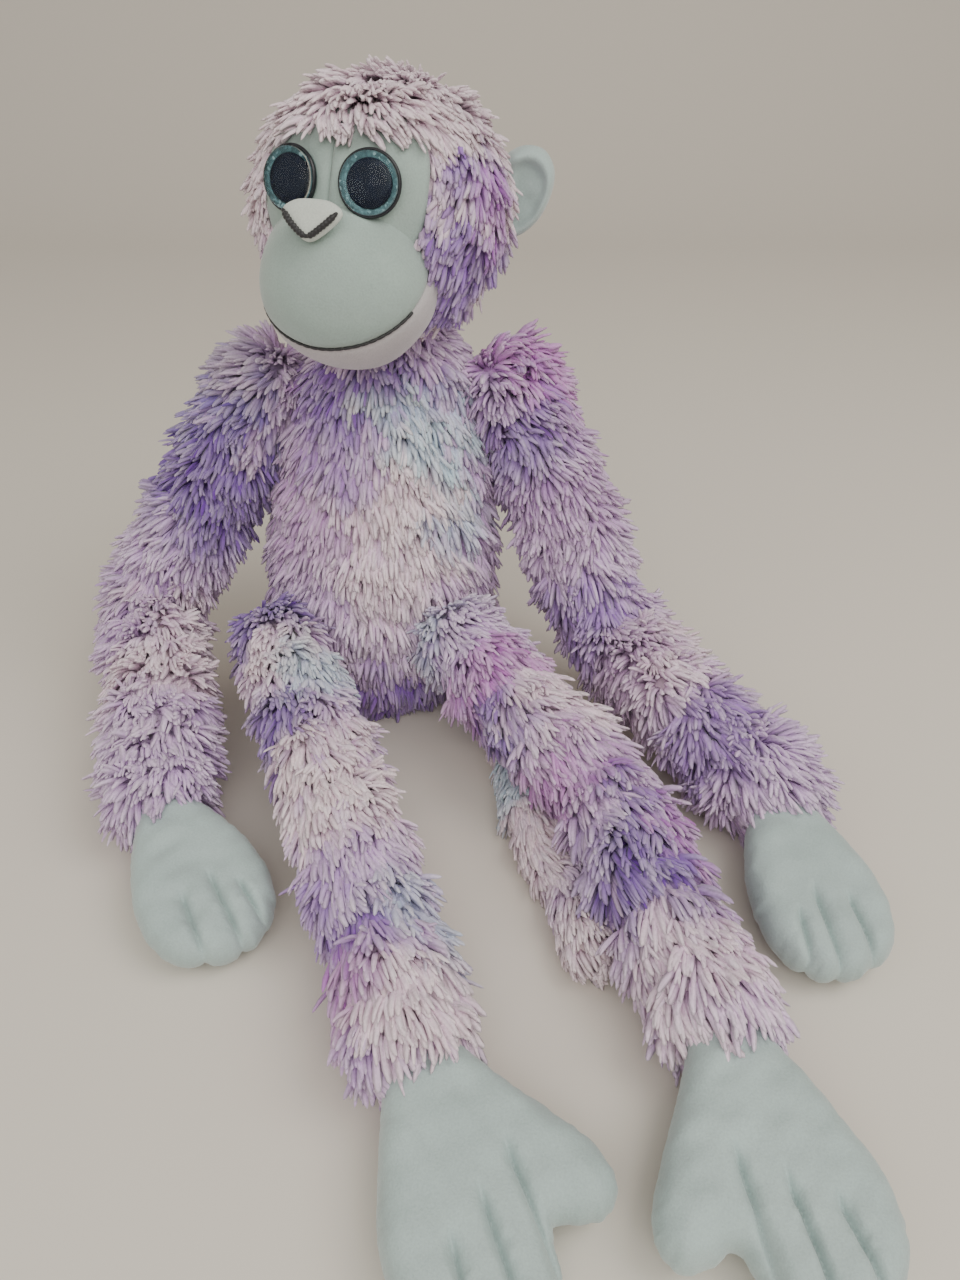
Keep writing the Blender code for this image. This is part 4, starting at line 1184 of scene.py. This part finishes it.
HAND_OUTLINE = (
    (-11, 0), (-8, -9), (4, -12), (20, -19), (40, -24), (56, -23.5), (67, -18),
    (73, -8), (75, 2), (72, 13), (62, 21), (48, 24), (34, 23), (18, 18), (4, 12), (-8, 9),
)
HAND_STITCHES = (((80, -9), (46, -8)), ((80, 4), (42, 3)), ((78, 14), (50, 11)))
FOOT_OUTLINE = (
    (-12, 0), (-9, -10), (4, -13), (24, -21), (46, -28), (64, -27), (76, -18), (82, -6),
    (80, 6), (70, 14), (58, 17), (60, 24), (61, 32), (55, 38), (44, 37), (30, 29), (14, 19), (2, 13),
    (-9, 10),
)
FOOT_STITCHES = (((88, -15), (50, -10)), ((90, -1), (42, 1)), ((80, 12), (34, 12)))
HAND_THICK, FOOT_THICK = 19 * MM, 22 * MM


def segment_gap(points, start, end):
    """Distances from points to a straight piece, and how far along it the nearest place is."""
    way = end - start
    t = np.clip(((points - start) @ way) / (way @ way), 0, 1)
    return np.linalg.norm(points - start - t[:, None] * way, axis=1), t


def outline_gap(points, outline):
    gaps = [segment_gap(points, outline[i - 1], outline[i])[0] for i in range(len(outline))]
    return np.min(gaps, axis=0)


CLOTH = {
    "quality": 6, "mass": 0.15, "tension_stiffness": 12, "compression_stiffness": 12, "shear_stiffness": 4,
    "bending_stiffness": 0.3, "use_pressure": True, "uniform_pressure_force": 4,
}
CLOTH_FRAMES = 20


def inflate(made, held, cap):
    """A short cloth simulation with air pressure, so that the padding pulls at its stitches."""
    before = np.array([v.co for v in made.data.vertices])
    group = made.vertex_groups.new(name="held")
    for index, weight in enumerate(held):
        if weight > 0:
            group.add([index], float(weight), "REPLACE")
    cloth = made.modifiers.new("cloth", "CLOTH")
    settings = cloth.settings
    for key, value in CLOTH.items():
        setattr(settings, key, value)
    settings.vertex_group_mass = "held"
    settings.effector_weights.gravity = 0
    cloth.point_cache.frame_start = 1
    cloth.point_cache.frame_end = CLOTH_FRAMES
    scene = bpy.context.scene
    for number in range(1, CLOTH_FRAMES + 1):
        scene.frame_set(number)
    graph = bpy.context.evaluated_depsgraph_get()
    after = np.array([v.co for v in made.evaluated_get(graph).data.vertices])
    made.modifiers.clear()
    scene.frame_set(1)
    move = after - before
    size = np.linalg.norm(move, axis=1, keepdims=True)
    move *= np.minimum(1, cap / np.maximum(size, 1e-9))
    set_points(made.data, before + move)


def quilted(name, outline, stitches, thick, place, seed):
    """A hand or foot: two sheets of suede round padding, drawn together along top-stitched lines."""
    outline = closed_curve(outline, 110)
    lines = [(np.array(a) * MM, np.array(b) * MM) for a, b in stitches]
    for start, end in lines:
        gap, _ = segment_gap(outline, start, end)
        inward = unit(end - start)
        outline = outline + inward * (1.2 * MM * np.exp(-((gap / (2.2 * MM)) ** 2)))[:, None]
    rng = np.random.default_rng(seed)
    low, high = outline.min(0), outline.max(0)
    step = 1.9 * MM
    grid = np.meshgrid(np.arange(low[0], high[0], step), np.arange(low[1], high[1], step))
    grid = np.stack(grid, -1).reshape(-1, 2)
    grid = grid + rng.uniform(-0.3, 0.3, grid.shape) * step
    for start, end in lines:
        grid = grid[segment_gap(grid, start, end)[0] > 1.7 * MM]
    creases = []
    for start, end in lines:
        count = int(np.linalg.norm(end - start) / (1.5 * MM))
        run = start + np.linspace(0, 1, count)[:, None] * (end - start)
        aside = unit(end - start)[::-1] * (1, -1)
        creases += [run + aside * off * MM for off in (-0.9, 0, 0.9)]
    grid = np.vstack([grid] + creases)
    grid = grid[outline_gap(grid, outline) > 0.9 * MM]
    n = len(outline)
    flat = [Vector(p) for p in outline] + [Vector(p) for p in grid]
    rim = [(i, (i + 1) % n) for i in range(n)]
    sheet = geometry.delaunay_2d_cdt(flat, rim, [tuple(range(n))], 1, 1e-7)
    points = np.array([tuple(p) for p in sheet[0]])
    faces = [tuple(f) for f in sheet[2]]
    used, renumbered = np.unique([i for f in faces for i in f], return_inverse=True)
    points, faces = points[used], renumbered.reshape(-1, 3)
    edge = outline_gap(points, outline)
    share = np.clip(edge / (10.5 * MM), 0, 1)
    high = thick / 2 * (1 - (1 - share) ** 2.2) ** 0.5
    held = (edge < 0.3 * MM).astype(float)
    rumple = waves(seed, 11 * MM)
    for start, end in lines:
        gap, t = segment_gap(points, start, end)
        fade = np.clip((1 - t) / 0.15, 0, 1)
        high = high * (1 - 0.5 * fade * np.exp(-((gap / (0.9 * MM)) ** 2)))
        held = np.maximum(held, (gap < 1.0 * MM) * fade)
    high = high * (1 + 0.05 * rumple(np.column_stack((points, 0 * edge))))
    count = len(points)
    border = edge < 1e-6
    twin = np.where(border, np.arange(count), np.arange(count) + count)
    top = np.column_stack((points, np.where(border, 0, high)))
    under = np.column_stack((points, np.where(border, 0, -high)))
    all_points = np.vstack((top, under))
    all_faces = np.vstack((faces, twin[faces][:, ::-1]))
    used, renumbered = np.unique(all_faces.ravel(), return_inverse=True)
    all_points, held = all_points[used], np.concatenate((held, held))[used]
    made = mesh_object(name, placed(place, all_points), renumbered.reshape(-1, 3), SUEDE)
    inflate(made, held, 1.6 * MM)
    finer = made.modifiers.new("finer", "SUBSURF")
    finer.levels = 1
    settle_modifiers(made)
    heights = np.array([v.co for v in made.data.vertices])
    heights[:, 2] = np.maximum(heights[:, 2], 0.3 * MM)
    set_points(made.data, heights)
    smoothed(made.data)
    return made


def palm_place(side, part):
    """X along the hand or foot, Y to its thumb or big toe, Z up, origin on its joint."""
    along = limb_tip(side, part)
    up = unit(UP - UP @ along * along)
    across = np.cross(up, along)
    if across[0] * (-1 if side == "left" else 1) < 0:
        across = -across
    made = Matrix((Vector(along), Vector(across), Vector(up))).transposed().to_4x4()
    made.translation = Vector(joint_at(f"{side}_{'wrist' if part == 'hand' else 'ankle'}_bend"))
    return made


for side in ("right", "left"):
    for part, outline, stitches, thick, panels in (
        ("hand", HAND_OUTLINE, HAND_STITCHES, HAND_THICK, ("back_panel", "palm_panel", "stuffing")),
        ("foot", FOOT_OUTLINE, FOOT_STITCHES, FOOT_THICK, ("top_panel", "sole_panel", "stuffing")),
    ):
        seed = 800 + (part == "foot") * 10 + (side == "left")
        made = quilted(f"{side}_{part}_suede", outline, stitches, thick, palm_place(side, part), seed)
        dress(made, f"{side}_{part}", "mint_suede", [f"{side}_{part}_{p}" for p in panels])

# --- floor, light and camera

FLOOR = srgb(222, 216, 206)
floor_material, tree, shader = new_material("floor", 0.9)
shader.inputs["Base Color"].default_value = (*FLOOR, 1)
side_to_side = np.linspace(-4, 4, 9)
profile = [(-2.0, 0.0), (0.9, 0.0)]
profile += [(0.9 + 0.5 * math.sin(t), 0.5 - 0.5 * math.cos(t)) for t in np.linspace(0.1, math.pi / 2, 12)]
profile += [(1.4, 4.0)]
points = [(x, y, z) for y, z in profile for x in side_to_side]
floor = mesh_object("floor", points, grid_faces(len(profile), len(side_to_side)), floor_material)

scene = bpy.context.scene
world = bpy.data.worlds.new("soft_room")
scene.world = world
world.use_nodes = True
world.node_tree.nodes["Background"].inputs["Color"].default_value = (1.0, 0.96, 0.9, 1)
world.node_tree.nodes["Background"].inputs["Strength"].default_value = 0.5


BODY_MIDDLE = Vector((0.03, -0.05, 0.08))
WARM = (1.0, 0.96, 0.9)


def area_light(name, at, size, power, colour):
    data = bpy.data.lights.new(name, "AREA")
    data.size = size
    data.energy = power
    data.color = colour
    lamp = bpy.data.objects.new(name, data)
    lamp.location = at
    lamp.rotation_euler = (BODY_MIDDLE - Vector(at)).to_track_quat("-Z", "Y").to_euler()
    scene.collection.objects.link(lamp)


area_light("key", (0.75, -0.35, 1.15), 0.8, 8.0, WARM)
area_light("front", (0.1, -1.0, 0.9), 0.9, 7.0, WARM)
area_light("fill", (-0.9, -0.8, 0.8), 1.2, 3.0, (1.0, 0.97, 0.93))

CAMERA_AT = (0.048, -0.368, 0.287)
camera_data = bpy.data.cameras.new("camera")
camera_data.sensor_width = 36
camera_data.lens = 27.2
camera_data.clip_start = 0.01
camera = bpy.data.objects.new("camera", camera_data)
camera.location = CAMERA_AT
camera.rotation_euler = (math.radians(55), 0, 0)
scene.collection.objects.link(camera)
scene.camera = camera
